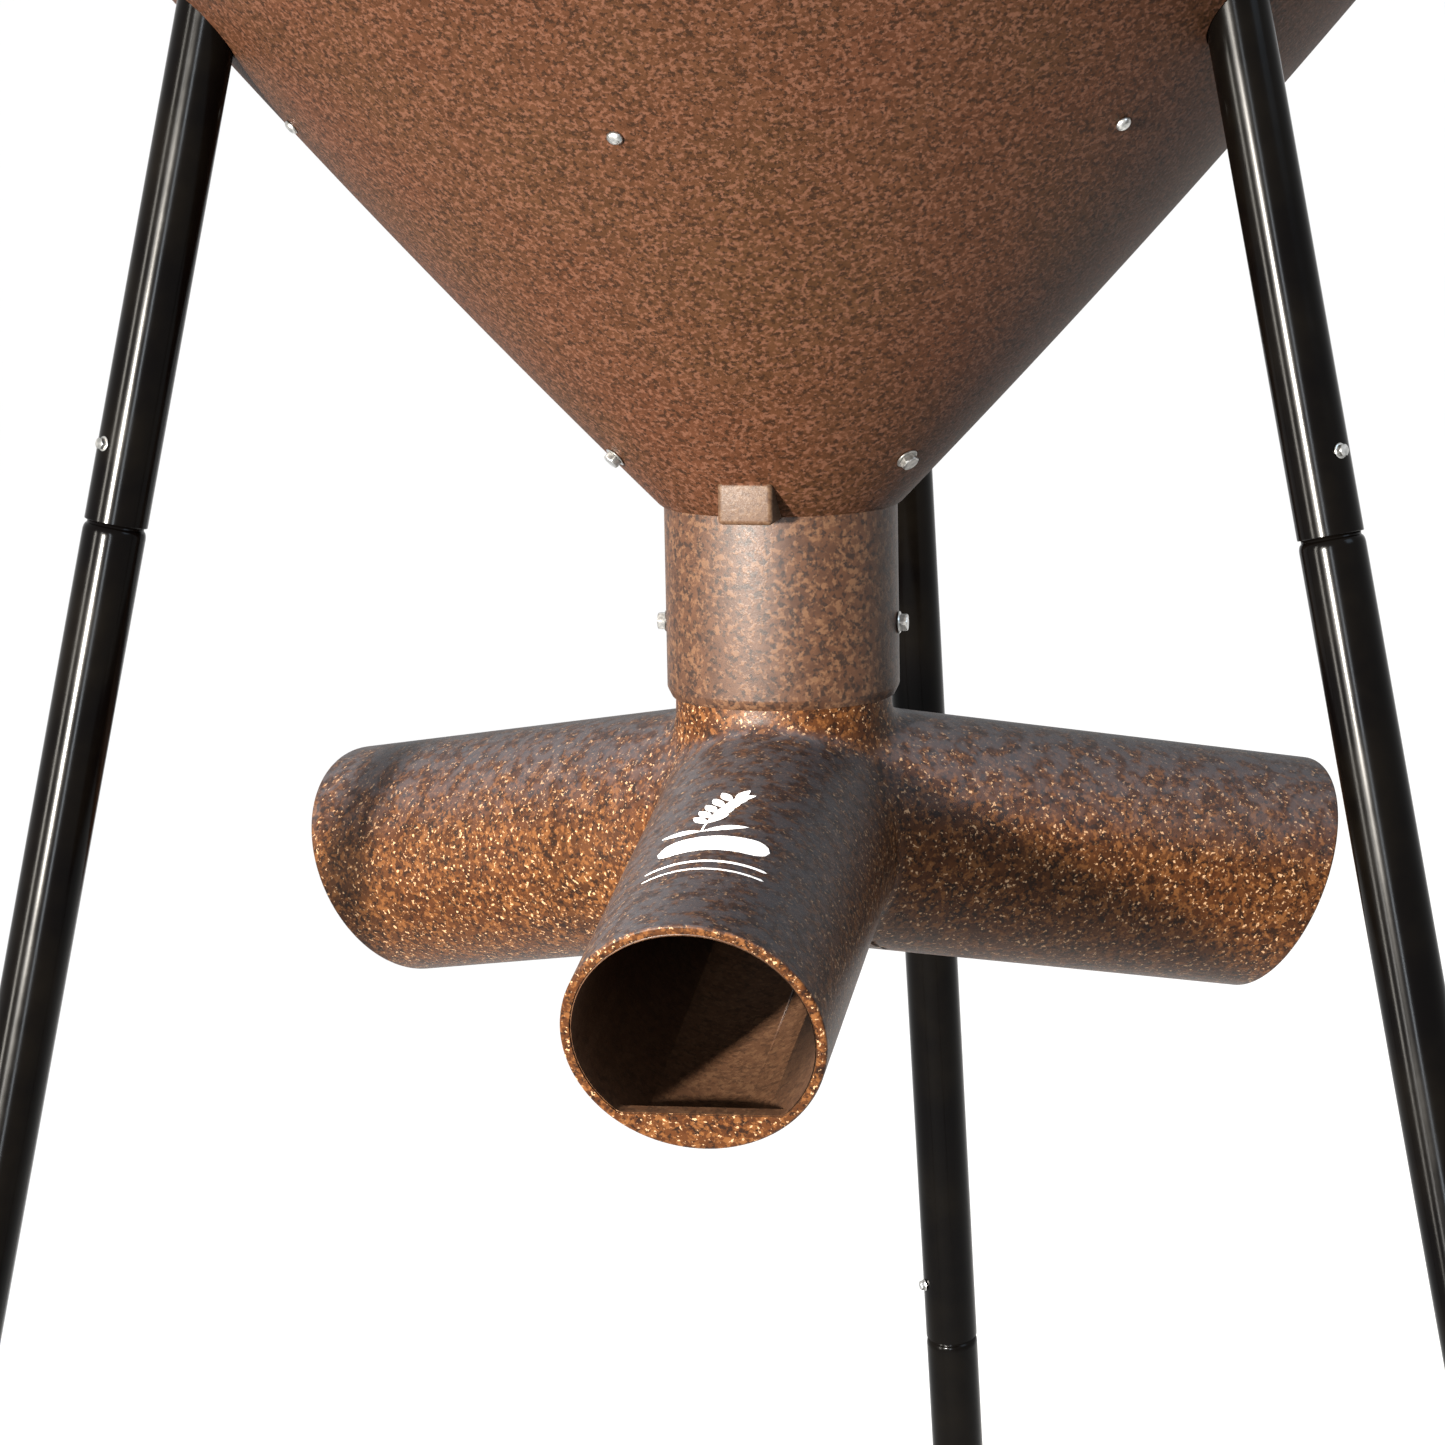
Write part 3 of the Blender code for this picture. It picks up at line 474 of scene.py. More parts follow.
def collar_plastic():
    tones = (rgb(0.0205, 0.0078, 0.0032), rgb(0.0190, 0.0076, 0.0034), rgb(0.0048, 0.0022, 0.0013),
             rgb(0.0450, 0.0220, 0.0105), None, None)
    return speckled_plastic("collar_plastic", tones, 250.0, 0.50, 0.19)


def head_tones():
    # The flake tone is painted bright for the flakes' glints; the last tone is the painted grey-blue sky
    # sheen.
    return (rgb(0.0200, 0.0056, 0.0010), rgb(0.0175, 0.0057, 0.0014), rgb(0.0034, 0.0012, 0.0004),
            rgb(0.0600, 0.0230, 0.0065), rgb(0.17, 0.102, 0.055), rgb(0.027, 0.027, 0.031))


def head_plastic():
    # 0.02 sets how many flakes are painted bright for glints; 0.80 is the strength of the painted sky sheen.
    return speckled_plastic("head_plastic", head_tones(), 265.0, 0.46, 0.08, 0.02, 0.80)


def bore_plastic():
    """The same plastic inside the ports, in other tones and without the painted sky sheen of the head's
    outside.
    """
    tones = (rgb(0.0290, 0.0125, 0.0058), rgb(0.0270, 0.0125, 0.0064), rgb(0.0150, 0.0070, 0.0036),
             rgb(0.0400, 0.0200, 0.0100), None, None)
    return speckled_plastic("bore_plastic", tones, 265.0, 0.50, 0.20)


def black_paint():
    nodes = Nodes("black_paint")
    vector = nodes.coords()
    ripple = nodes.noise(vector, 60.0, 2.0, 0.5)
    dust = nodes.noise(vector, 14.0, 4.0, 0.6)
    tone = nodes.mix(nodes.step(dust, 0.35, 0.75), rgb(0.0004, 0.0003, 0.0003), rgb(0.0012, 0.0009, 0.0006))
    nodes.set(Base_Color=tone, Specular_IOR_Level=0.05)
    nodes.set(Roughness=nodes.blend_value(nodes.step(dust, 0.4, 0.7), 0.16, 0.22))
    nodes.set(Normal=nodes.bump(ripple, 0.04, 0.0004))
    return nodes.material


def zinc_plate():
    nodes = Nodes("zinc_plate")
    vector = nodes.coords()
    cloud = nodes.noise(vector, 240.0, 3.0, 0.6)
    tone = nodes.mix(nodes.step(cloud, 0.35, 0.65), rgb(0.26, 0.26, 0.25), rgb(0.46, 0.45, 0.43))
    nodes.set(Base_Color=tone, Metallic=1.0)
    nodes.set(Roughness=nodes.blend_value(cloud, 0.22, 0.40))
    nodes.set(Normal=nodes.bump(cloud, 0.15, 0.0003))
    return nodes.material


def black_rubber():
    nodes = Nodes("black_rubber")
    vector = nodes.coords()
    grain = nodes.noise(vector, 700.0, 3.0, 0.6)
    dust = nodes.noise(vector, 45.0, 3.0, 0.6)
    tone = nodes.mix(nodes.step(dust, 0.45, 0.75), rgb(0.006, 0.006, 0.006), rgb(0.014, 0.013, 0.012))
    nodes.set(Base_Color=tone, Normal=nodes.bump(grain, 0.3, 0.0004))
    nodes.set(Roughness=nodes.blend_value(dust, 0.62, 0.85))
    return nodes.material


def print_ink():
    nodes = Nodes("print_ink")
    vector = nodes.coords()
    wear = nodes.noise(vector, 420.0, 4.0, 0.7)
    tone = nodes.mix(nodes.step(wear, 0.28, 0.50), rgb(0.30, 0.28, 0.27), rgb(0.66, 0.66, 0.66))
    nodes.set(Base_Color=tone, Roughness=nodes.blend_value(wear, 0.35, 0.55))
    nodes.set(Normal=nodes.bump(wear, 0.1, 0.0002))
    return nodes.material


def floor_paint():
    nodes = Nodes("floor_paint")
    vector = nodes.coords()
    cloud = nodes.noise(vector, 1.3, 3.0, 0.5)
    nodes.set(Base_Color=nodes.mix(cloud, rgb(0.90, 0.90, 0.90), rgb(0.93, 0.93, 0.93)))
    nodes.set(Roughness=nodes.blend_value(cloud, 0.75, 0.85))
    return nodes.material


# Hopper ---------------------------------------------------------------------------------------------
def funnel_radius(height):
    """Outer radius of the cone at this height above the collar's top."""
    return FUNNEL_RADIUS + FUNNEL_SLOPE * height - FUNNEL_BULGE * height**2


def funnel_slope(height):
    return FUNNEL_SLOPE - 2 * FUNNEL_BULGE * height


def foot_height(radius, inset):
    """Height above the collar's top at which the cone, moved in by inset, has this radius."""
    height = 0.0
    for _ in range(20):
        slant = math.hypot(1.0, funnel_slope(height))
        height += (radius - funnel_radius(height) + inset * slant) / FUNNEL_SLOPE
    return height


def cone_points(inset, low, high, steps):
    """Cone profile from the top down, moved in along its normal by inset."""
    points = []
    for step in range(steps + 1):
        height = high + (low - high) * step / steps
        slant = math.hypot(1.0, funnel_slope(height))
        points.append((funnel_radius(height) - inset * slant, COLLAR_TOP + height))
    return points


def shoulder_points(inset):
    """The bend from the barrel wall down into the cone."""
    lean = math.degrees(math.atan(funnel_slope(FUNNEL_HEIGHT)))
    run = BARREL_RADIUS - funnel_radius(FUNNEL_HEIGHT)
    bend = run / (1.0 - math.cos(math.radians(lean)))
    center = (BARREL_RADIUS - bend, COLLAR_TOP + FUNNEL_HEIGHT + bend * math.sin(math.radians(lean)))
    return arc(center, bend - inset, 0.0, -lean, 14)


def hoop_points():
    """Two moulded stiffening hoops on the barrel, from the top down, with soft edges."""
    points = []
    for height in reversed(HOOP_HEIGHTS):
        for step in range(17):
            t = step / 16
            rise = HOOP_DEPTH * max(0.0, math.sin(math.pi * t)) ** 0.6
            points.append((BARREL_RADIUS + rise, COLLAR_TOP + height + HOOP_HALF_WIDTH * (1 - 2 * t)))
    return points


def leg_matrix(name, height):
    """A placement on a leg's centre line at this height, local +Z up along the leg."""
    outward = direction(LEG_AZIMUTHS[name])
    origin = axis_point(height, outward * (LEG_REACH - LEG_SPLAY * height))
    upward = Vector((0.0, 0.0, 1.0)) - outward * LEG_SPLAY
    return frame_matrix(origin, upward, outward)


def ring_turn(number):
    return Matrix.Translation(AXIS) @ Matrix.Rotation(math.radians(90.0 + 120.0 * number), 4, "Z")


def sleeve(name, radius, top):
    """A cylinder round a leg's centre line, from outside the cone up to this height."""
    length = (top - SOCKET_START) / COS_TILT
    return cylinder("sleeve", radius, 0.0, length, 64, leg_matrix(name, SOCKET_START))


def funnel_matrix(azimuth, height):
    """A placement on the cone's outer surface, local +Z along its outward normal."""
    outward = direction(azimuth)
    normal = outward - Vector((0.0, 0.0, funnel_slope(height)))
    origin = axis_point(COLLAR_TOP + height, outward * funnel_radius(height))
    return frame_matrix(origin, normal, Vector((0.0, 0.0, 1.0)))


def bolt_holes():
    """A Boolean step for each bolt that goes through the cone and its liner."""
    steps = []
    for azimuth in NECK_BOLT_AZIMUTHS:
        place = funnel_matrix(azimuth, NECK_BOLT_HEIGHT)
        steps.append(("DIFFERENCE", cylinder("hole", NECK_BOLT_HOLE, -0.02, 0.01, SMALL, place)))
    for azimuth in FUNNEL_BOLT_AZIMUTHS:
        place = funnel_matrix(azimuth, FUNNEL_BOLT_HEIGHT)
        steps.append(("DIFFERENCE", cylinder("hole", FUNNEL_BOLT_HOLE, -0.02, 0.01, SMALL, place)))
    return steps


def screw_holes(depth):
    """A Boolean step for each of the two screws in the collar, drilled this deep."""
    steps = []
    for side in (0.0, 180.0):
        drill = cylinder("hole", HEAD_SCREW_HOLE, -depth, 0.01, SMALL, head_screw_matrix(side))
        steps.append(("DIFFERENCE", drill))
    return steps


def build_hopper(material, lug_material):
    """Barrel, cone, mouth, catches, leg sockets and the square lug, hollow throughout."""
    place = Matrix.Translation(AXIS)
    bend = BARREL_RADIUS - MOUTH_RADIUS
    top = COLLAR_TOP + MOUTH_TOP
    foot = COLLAR_TOP + FUNNEL_FOOT
    corner = 0.0022
    outer = [(0.0, top), (MOUTH_RADIUS - corner, top)]
    outer += arc((MOUTH_RADIUS - corner, top - corner), corner, 80.0, 0.0, 3)
    outer += arc((MOUTH_RADIUS, COLLAR_TOP + BARREL_TOP - bend), bend, 90.0, 0.0, 12)
    outer += hoop_points()
    outer += shoulder_points(0.0)
    outer += cone_points(0.0, FUNNEL_FOOT + 0.0015, FUNNEL_HEIGHT, 40)[1:]
    outer += [(funnel_radius(FUNNEL_FOOT) - 0.0006, foot), (0.0, foot)]
    mesh = turned("hopper", outer, FINE, place, closed=False)

    hole = COLLAR_RADIUS + FIT
    inner_foot = foot_height(hole, HOPPER_WALL)
    mouth = MOUTH_RADIUS - HOPPER_WALL
    inner = [(0.0, top + 0.01), (mouth + 0.0015, top + 0.01), (mouth + 0.0015, top), (mouth, top - 0.0015)]
    inner += arc((mouth, COLLAR_TOP + BARREL_TOP - bend), bend, 90.0, 0.0, 12)
    inner += shoulder_points(HOPPER_WALL)
    inner += cone_points(HOPPER_WALL, inner_foot, FUNNEL_HEIGHT, 30)[1:]
    inner += [(hole, foot - 0.01), (0.0, foot - 0.01)]
    cavity = turned("cavity", inner, FINE, place, closed=False)
    walls = [sleeve(name, SOCKET_RADIUS + SOCKET_WALL, LEG_TOP + SOCKET_WALL) for name in LEG_AZIMUTHS]
    cavity = combined(cavity, [("DIFFERENCE", wall) for wall in walls])

    middle = COLLAR_TOP + LUG_FOOT + LUG_SIZE[2] / 2
    center = axis_point(middle, direction(LUG_AZIMUTH) * (LUG_FACE - LUG_SIZE[0] / 2))
    turn = Matrix.Rotation(math.radians(LUG_AZIMUTH), 4, "Z")
    steps = [("UNION", box_block("lug", LUG_SIZE, LUG_ROUNDING, 5, Matrix.Translation(center) @ turn))]
    high = COLLAR_TOP + CATCH_TOP
    root = MOUTH_RADIUS - HOPPER_WALL / 2
    tip = MOUTH_RADIUS + CATCH_SIZE[0]
    low = high - CATCH_SIZE[1]
    for number in range(3):
        turned_to = ring_turn(number)
        block = arc_block("catch", root, tip, low, high, CATCH_ARC, turned_to, CATCH_ROUNDING)
        steps.append(("UNION", block))
    steps.append(("DIFFERENCE", cavity))
    for name in LEG_AZIMUTHS:
        steps.append(("DIFFERENCE", sleeve(name, SOCKET_RADIUS, LEG_TOP + FIT)))
    mesh = combined(mesh, steps + bolt_holes())
    piece = add_piece("hopper_moulding", mesh, material, FEEDER, ["hopper"], 30.0)
    piece.data.materials.append(lug_material)
    reach = [size / 2 + FIT for size in LUG_SIZE]
    to_lug = (Matrix.Translation(center) @ turn).inverted()
    for polygon in piece.data.polygons:
        spot = to_lug @ polygon.center
        outside = math.hypot(polygon.center.x - AXIS.x, polygon.center.y - AXIS.y)
        proud = outside > funnel_radius(polygon.center.z - COLLAR_TOP) + FIT
        if proud and all(abs(spot[k]) < reach[k] for k in range(3)):
            polygon.material_index = 1


# Neck -----------------------------------------------------------------------------------------------
def build_neck(material):
    """The collar and the liner above it, with holes for every bolt and screw."""
    inset = HOPPER_WALL + FIT
    bend = foot_height(COLLAR_RADIUS, inset)
    bore = COLLAR_RADIUS - COLLAR_WALL
    inner_bend = foot_height(bore, inset + COLLAR_WALL)
    bottom = COLLAR_BOTTOM
    outer = cone_points(inset, bend, LINER_TOP, 20)
    outer += [(COLLAR_RADIUS, bottom + 0.0066), (COLLAR_RADIUS - 0.0003, bottom + 0.0056)]
    outer += [(COLLAR_RADIUS - 0.0027, bottom + 0.0006), (COLLAR_RADIUS - 0.0032, bottom)]
    inner = [(bore + 0.0003, bottom), (bore, bottom + 0.0004)]
    inner += cone_points(inset + COLLAR_WALL, inner_bend, LINER_TOP, 20)[::-1]
    mesh = turned("neck", outer + inner, FINE, Matrix.Translation(AXIS))
    mesh = combined(mesh, bolt_holes() + screw_holes(0.01))
    add_piece("neck_moulding", mesh, material, FEEDER, ["neck_funnel"], 30.0)


# Gravity head ---------------------------------------------------------------------------------------
def port_matrix(azimuth):
    """A placement at the hub, local +Z down along the port and local +X up across it."""
    outward = direction(azimuth + HEAD_TURN)
    slope = math.radians(PORT_SLOPE)
    along = outward * math.cos(slope) - Vector((0.0, 0.0, math.sin(slope)))
    return frame_matrix(axis_point(HUB_HEIGHT), along, Vector((0.0, 0.0, 1.0)))


def head_screw_matrix(side):
    outward = direction(HEAD_TURN + side)
    origin = axis_point(HEAD_SCREW_HEIGHT, outward * COLLAR_RADIUS)
    return frame_matrix(origin, outward, Vector((0.0, 0.0, 1.0)))


def blended_distance(points, rays):
    """Distance to the skin round all rays, whose tubes flow into each other, and its gradient."""
    distances = []
    gradients = []
    for origin, axis, radius in rays:
        offset = points - origin
        along = np.maximum(offset @ axis, 0.0)
        across = offset - along[:, None] * axis
        length = np.linalg.norm(across, axis=1)
        distances.append(length - radius)
        gradients.append(across / length[:, None])
    distances = np.array(distances)
    nearest = distances.min(axis=0)
    weights = np.exp((nearest - distances) / HEAD_SOFTNESS)
    total = weights.sum(axis=0)
    gradient = (np.array(gradients) * weights[:, :, None]).sum(axis=0) / total[:, None]
    return nearest - HEAD_SOFTNESS * np.log(total), gradient


def port_solid(name, radius, start, length, flare=0.0, floor=None):
    """A tube's solid in port coordinates whose end leans. It can widen at its end and have a floor."""
    lean = math.tan(math.radians(PORT_END_LEAN))
    stations = [(start, radius, 0.0)]
    end = length
    if flare:
        end += 0.02
        for k in range(7):
            angle = math.radians(90.0 * (1 - k / 6))
            station = (length - flare * math.cos(angle), radius + flare * (1 - math.sin(angle)), 1.0)
            stations.append(station)
    stations.append((end, stations[-1][1], 1.0))
    rings = []
    for z, size, share in stations:
        grow = size - radius
        ring = []
        for step in range(MEDIUM):
            angle = math.tau * step / MEDIUM
            x = size * math.cos(angle)
            y = size * math.sin(angle)
            if floor is not None and x < -floor:
                x = max(x, -floor - grow)
            ring.append((x, y, z + share * x * lean))
        rings.append(ring)
    return grid_mesh(name, rings, capped=True)


def build_head(material, bore_material):
    """The spigot, three sloping ports that flow into it, and a cone between them."""
    hub = np.array(axis_point(HUB_HEIGHT))
    upright = np.array((0.0, 0.0, 1.0))
    rays = [(hub, upright, SPIGOT_RADIUS)]
    skin = []
    for azimuth in PORT_AZIMUTHS:
        place = port_matrix(azimuth)
        rays.append((hub, np.array(place.to_3x3() @ Vector((0.0, 0.0, 1.0))), PORT_RADIUS))
        tube = port_solid("port", PORT_RADIUS, PORT_START, PORT_LENGTH + 0.03)
        tube.transform(place)
        skin.append(("UNION", tube))
    high = SPIGOT_TOP + 0.02
    shell = cylinder("spigot", SPIGOT_RADIUS, HUB_HEIGHT, high, MEDIUM, Matrix.Translation(AXIS))
    obj = temp_object(combined(shell, skin))
    remesh = obj.modifiers.new("Remesh", "REMESH")
    remesh.mode = "VOXEL"
    remesh.voxel_size = HEAD_VOXEL
    mesh = evaluated(obj)

    count = len(mesh.vertices)
    flat = np.empty(count * 3)
    mesh.vertices.foreach_get("co", flat)
    points = flat.reshape(count, 3)
    for _ in range(6):
        distance, gradient = blended_distance(points, rays)
        slope = (gradient**2).sum(axis=1)
        points = points - gradient * (distance / slope)[:, None]
    mesh.vertices.foreach_set("co", points.ravel())
    mesh.update()

    shape = bmesh.new()
    shape.from_mesh(mesh)
    trim(shape, Matrix.Translation(axis_point(SPIGOT_TOP)), 0.0, SPIGOT_RADIUS, 0.0012)
    for azimuth in PORT_AZIMUTHS:
        end = port_matrix(azimuth) @ Matrix.Translation((0.0, 0.0, PORT_LENGTH))
        trim(shape, end, math.tan(math.radians(PORT_END_LEAN)), PORT_RADIUS, LIP_ROUNDING)
    bmesh.ops.recalc_face_normals(shape, faces=shape.faces)
    shape.to_mesh(mesh)
    shape.free()

    throat = cylinder("throat", SPIGOT_RADIUS - SPIGOT_WALL, HUB_HEIGHT - 0.02, SPIGOT_TOP + 0.01, MEDIUM,
                      Matrix.Translation(AXIS))
    ways = []
    for azimuth in PORT_AZIMUTHS:
        bore = PORT_RADIUS - PORT_WALL
        chamber = port_solid("chamber", bore, BORE_START, PORT_LENGTH - DAM_DEPTH)
        mouth = port_solid("mouth", bore, PORT_LENGTH - DAM_DEPTH - 0.02, PORT_LENGTH, BORE_FLARE, PORT_FLOOR)
        for part in (chamber, mouth):
            part.transform(port_matrix(azimuth))
            ways.append(("UNION", part))
    foot = HUB_HEIGHT - DIVERTER_FOOT
    profile = [(0.0, foot), (DIVERTER_RADIUS, foot), (0.0, HUB_HEIGHT - DIVERTER_TIP)]
    cone = turned("diverter", profile, MEDIUM, Matrix.Translation(AXIS), closed=False)
    ways.append(("DIFFERENCE", cone))
    feed_way = combined(throat, ways)
    mesh = combined(mesh, [("DIFFERENCE", feed_way)] + screw_holes(0.02))
    piece = add_piece("head_moulding", mesh, material, FEEDER, ["gravity_head"], 30.0)
    piece.data.materials.append(bore_material)
    # Faces inside the bores take the plastic without the painted sky sheen.
    to_ports = [port_matrix(azimuth).inverted() for azimuth in PORT_AZIMUTHS]
    for polygon in piece.data.polygons:
        spots = [to_port @ polygon.center for to_port in to_ports]
        off_axis = min([math.hypot(spot.x, spot.y) for spot in spots if spot.z > 0.0], default=PORT_RADIUS)
        faces_out = max((to_port.to_3x3() @ polygon.normal).z for to_port in to_ports) > LIP_FACING
        if off_axis < PORT_RADIUS - PORT_WALL / 2 and not faces_out:
            polygon.material_index = 1


def stroke(shape, path, widths):
    """A printed stroke on the front port: (across, along) points and the half width at each."""
    place = port_matrix(PORT_AZIMUTHS[0])
    rails = []
    for index, (point, width) in enumerate(zip(path, widths)):
        before = Vector(path[max(index - 1, 0)])
        after = Vector(path[min(index + 1, len(path) - 1)])
        heading = (after - before).normalized()
        side = Vector((-heading.y, heading.x)) * max(width, 0.00005)
        pair = []
        for across, along in (Vector(point) + side, Vector(point) - side):
            angle = across / PORT_RADIUS
            lift = PORT_RADIUS + PRINT_HEIGHT
            spot = Vector((lift * math.cos(angle), lift * math.sin(angle), along))
            pair.append(shape.verts.new(place @ spot))
        rails.append(pair)
    for first, second in zip(rails, rails[1:]):
        shape.faces.new((first[0], first[1], second[1], second[0]))


def printed_bar(shape, along, thickness, width):
    """A plain bar across the port with round ends."""
    steps = 40
    half = thickness / 2
    path = [(PRINT_CENTER + width * (0.5 - k / steps), along) for k in range(steps + 1)]
    reach = [min(abs(across - path[0][0]), abs(across - path[-1][0])) for across, _ in path]
    widths = [half * math.sqrt(max(0.0, 1 - max(0.0, 1 - r / half) ** 2)) for r in reach]
    stroke(shape, path, widths)


def printed_leaf(shape, start, angle, length, width):
    """A pointed grain or leaf that grows from start at this angle from straight up."""
    lean = math.radians(angle)
    steps = 10
    path = []
    for k in range(steps + 1):
        t = k / steps
        path.append((start[0] + length * t * math.sin(lean), start[1] - length * t * math.cos(lean)))
    stroke(shape, path, [width * math.sin(math.pi * k / steps) ** 0.8 for k in range(steps + 1)])


def build_print(material):
    """A plain emblem on the front port: an ear of grain over a bar and two lines."""
    shape = bmesh.new()
    foot = PRINT_TOP + 0.058
    bend = [(PRINT_CENTER + 0.010 - 0.012 * t * t, foot - 0.050 * t) for t in [k / 12 for k in range(13)]]
    stroke(shape, bend, [0.0007] * len(bend))
    for index in range(3, 12, 2):
        for side in (-1, 1):
            printed_leaf(shape, bend[index], 38.0 * side - 12.0 * index / 12, 0.0175, 0.0031)
    printed_leaf(shape, bend[-1], -24.0, 0.016, 0.0030)
    for side in (-1, 1):
        printed_leaf(shape, bend[0], 74.0 * side, 0.028, 0.0034)
    printed_bar(shape, foot + 0.020, 0.022, PRINT_WIDTH * 0.92)
    printed_bar(shape, foot + 0.048, 0.0030, PRINT_WIDTH)
    printed_bar(shape, foot + 0.060, 0.0022, PRINT_WIDTH)
    mesh = bpy.data.meshes.new("print")
    bmesh.ops.recalc_face_normals(shape, faces=shape.faces)
    shape.to_mesh(mesh)
    shape.free()
    add_piece("port_print", mesh, material, FEEDER)


def trim(shape, end, lean, radius, rounding):
    """Cuts a tube off at a leaning plane and closes it with a rounded lip."""
    back = end.inverted()
    normal = end.to_3x3() @ Vector((-lean, 0.0, 1.0)).normalized()
    start = end @ Vector((0.0, 0.0, -rounding))
    near = [v for v in shape.verts if (v.co - end.translation).length < 2.5 * radius]
    faces = {f for v in near for f in v.link_faces}
    edges = {e for f in faces for e in f.edges}
    verts = {v for f in faces for v in f.verts}
    cut = bmesh.ops.bisect_plane(
        shape, geom=list(verts) + list(edges) + list(faces), plane_co=start, plane_no=normal, clear_outer=True
    )
    rim = [item for item in cut["geom_cut"] if isinstance(item, bmesh.types.BMEdge)]
    for step in range(1, 7):
        angle = math.radians(15.0 * step)
        made = bmesh.ops.extrude_edge_only(shape, edges=rim)["geom"]
        rim = [item for item in made if isinstance(item, bmesh.types.BMEdge)]
        size = radius - rounding * (1 - math.cos(angle))
        for vertex in {v for edge in rim for v in edge.verts}:
            local = back @ vertex.co
            across = Vector((local.x, local.y)).normalized() * size
            height = across.x * lean - rounding * (1 - math.sin(angle))
            vertex.co = end @ Vector((across.x, across.y, height))
    bmesh.ops.contextual_create(shape, geom=rim)


# Legs -----------------------------------------------------------------------------------------------
def screw_matrix(name, joint_height):
    """A placement on a leg's surface where the joint's screw sits, local +Z out of the tube."""
    leg = leg_matrix(name, joint_height + LEG_SCREW_RISE * COS_TILT)
    upward = leg.to_3x3() @ Vector((0.0, 0.0, 1.0))
    facing = direction(LEG_SCREW_AZIMUTHS[name])
    facing = (facing - upward * facing.dot(upward)).normalized()
    return frame_matrix(leg.translation + facing * LEG_RADIUS, facing, upward)


def tube_profile(length, swaged):
    """Outer side from the top down, then the bore from the bottom up."""
    bore = LEG_RADIUS - LEG_WALL
    edge = 0.0004
    lower = [(LEG_RADIUS, edge), (LEG_RADIUS - edge, 0.0), (bore, 0.0)]
    if not swaged:
        return [(bore, length), (LEG_RADIUS - edge, length), (LEG_RADIUS, length - edge)] + lower
    slim = bore - FIT
    drop = LEG_RADIUS - slim
    outer = [(slim, length + SWAGE_LENGTH), (slim, length + 0.0004)]
    for step in range(1, 9):
        angle = math.radians(90.0 * step / 8)
        outer.append((slim + drop * math.sin(angle), length - SWAGE_SHOULDER * (1 - math.cos(angle))))
    inner = [(bore, length - SWAGE_SHOULDER - LEG_WALL), (slim - LEG_WALL, length - LEG_WALL)]
    return outer + lower + inner + [(slim - LEG_WALL, length + SWAGE_LENGTH)]


def build_legs(material):
    heights = (LEG_FOOT, *JOINT_HEIGHTS, LEG_TOP)
    kinds = ("lower", "middle", "upper")
    for name in LEG_AZIMUTHS:
        for level, kind in enumerate(kinds):
            low, high = heights[level], heights[level + 1]
            swaged = kind != "upper"
            length = (high - low) / COS_TILT - (SWAGE_STEP if swaged else 0.0)
            mesh = turned("tube", tube_profile(length, swaged), MEDIUM, leg_matrix(name, low))
            joints = [joint for joint in JOINT_HEIGHTS if joint in (low, high)]
            holes = []
            for joint in joints:
                place = screw_matrix(name, joint)
                holes.append(("DIFFERENCE", cylinder("hole", LEG_SCREW_HOLE, -0.0078, 0.01, SMALL, place)))
            add_piece(f"tube_{kind}_{name}", combined(mesh, holes), material, FEEDER,
                      [f"leg_{kind}_{name}"], 40.0)


def build_caps(material):
    """A ribbed rubber cap on each leg's end, cut level to stand flat on the floor."""
    for name in LEG_AZIMUTHS:
        top = CAP_HEIGHT
        outline = [(0.0, -0.01), (CAP_RADIUS, -0.01), (CAP_RADIUS, 0.016)]
        for rib in range(3):
            low = 0.018 + 0.007 * rib
            outline += [(CAP_RADIUS - 0.0008, low), (CAP_RADIUS - 0.0008, low + 0.0025)]
            outline += [(CAP_RADIUS, low + 0.0035), (CAP_RADIUS, low + 0.0055)]
        outline += arc((CAP_RADIUS - 0.0018, top - 0.0018), 0.0018, 0.0, 90.0, 4)
        outline += [(0.0, top)]
        mesh = turned("cap", outline, MEDIUM, leg_matrix(name, 0.0), closed=False)
        bore = cylinder("bore", LEG_RADIUS + FIT, LEG_FOOT / COS_TILT - FIT, top + 0.01, MEDIUM,
                        leg_matrix(name, 0.0))
        floor_box = box_block("floor_box", (3.0, 3.0, 0.1), 0.001, 1, Matrix.Translation((0.0, 0.0, -0.05)))
        mesh = combined(mesh, [("DIFFERENCE", bore), ("DIFFERENCE", floor_box)])
        add_piece(f"cap_{name}", mesh, material, FEEDER, [f"foot_cap_{name}"], 35.0)


# Fasteners ------------------------------------------------------------------------------------------
def hexagon(radius, low, high, chamfer, bore=0.0):
    """A hex head or nut whose corners are rounded off at the top by a cone."""
    sides = 60
    flat = radius * math.cos(math.radians(30.0))
    rings = []
    levels = [(low, 0.0), (high - chamfer, 0.0), (high - chamfer * 0.5, 0.5), (high, 1.0)]
    for height, cut in levels:
        ring = []
        for step in range(sides):
            angle = math.tau * step / sides
            turn = (angle + math.pi / 6) % (math.pi / 3) - math.pi / 6
            reach = flat / math.cos(turn)
            limit = radius - cut * (radius - flat * 0.96)
            reach = min(reach, limit)
            ring.append((reach * math.cos(angle), reach * math.sin(angle), height))
        rings.append(ring)
    if bore:
        angles = [math.tau * k / sides for k in range(sides)]
        hole = [(bore * math.cos(angle), bore * math.sin(angle)) for angle in angles]
        rings.append([(x, y, high) for x, y in hole])
        rings.append([(x, y, low) for x, y in hole])
        return grid_mesh("nut", rings, closed=True)
    rings.append([(x * 0.45, y * 0.45, high + chamfer * 0.1) for x, y, _ in rings[-1]])
    return grid_mesh("hex", rings, capped=True)


def merged(meshes):
    """One mesh out of several that stand in each other."""
    shape = bmesh.new()
    for mesh in meshes:
        shape.from_mesh(mesh)
    result = bpy.data.meshes.new("merged")
    shape.to_mesh(result)
    shape.free()
    return result


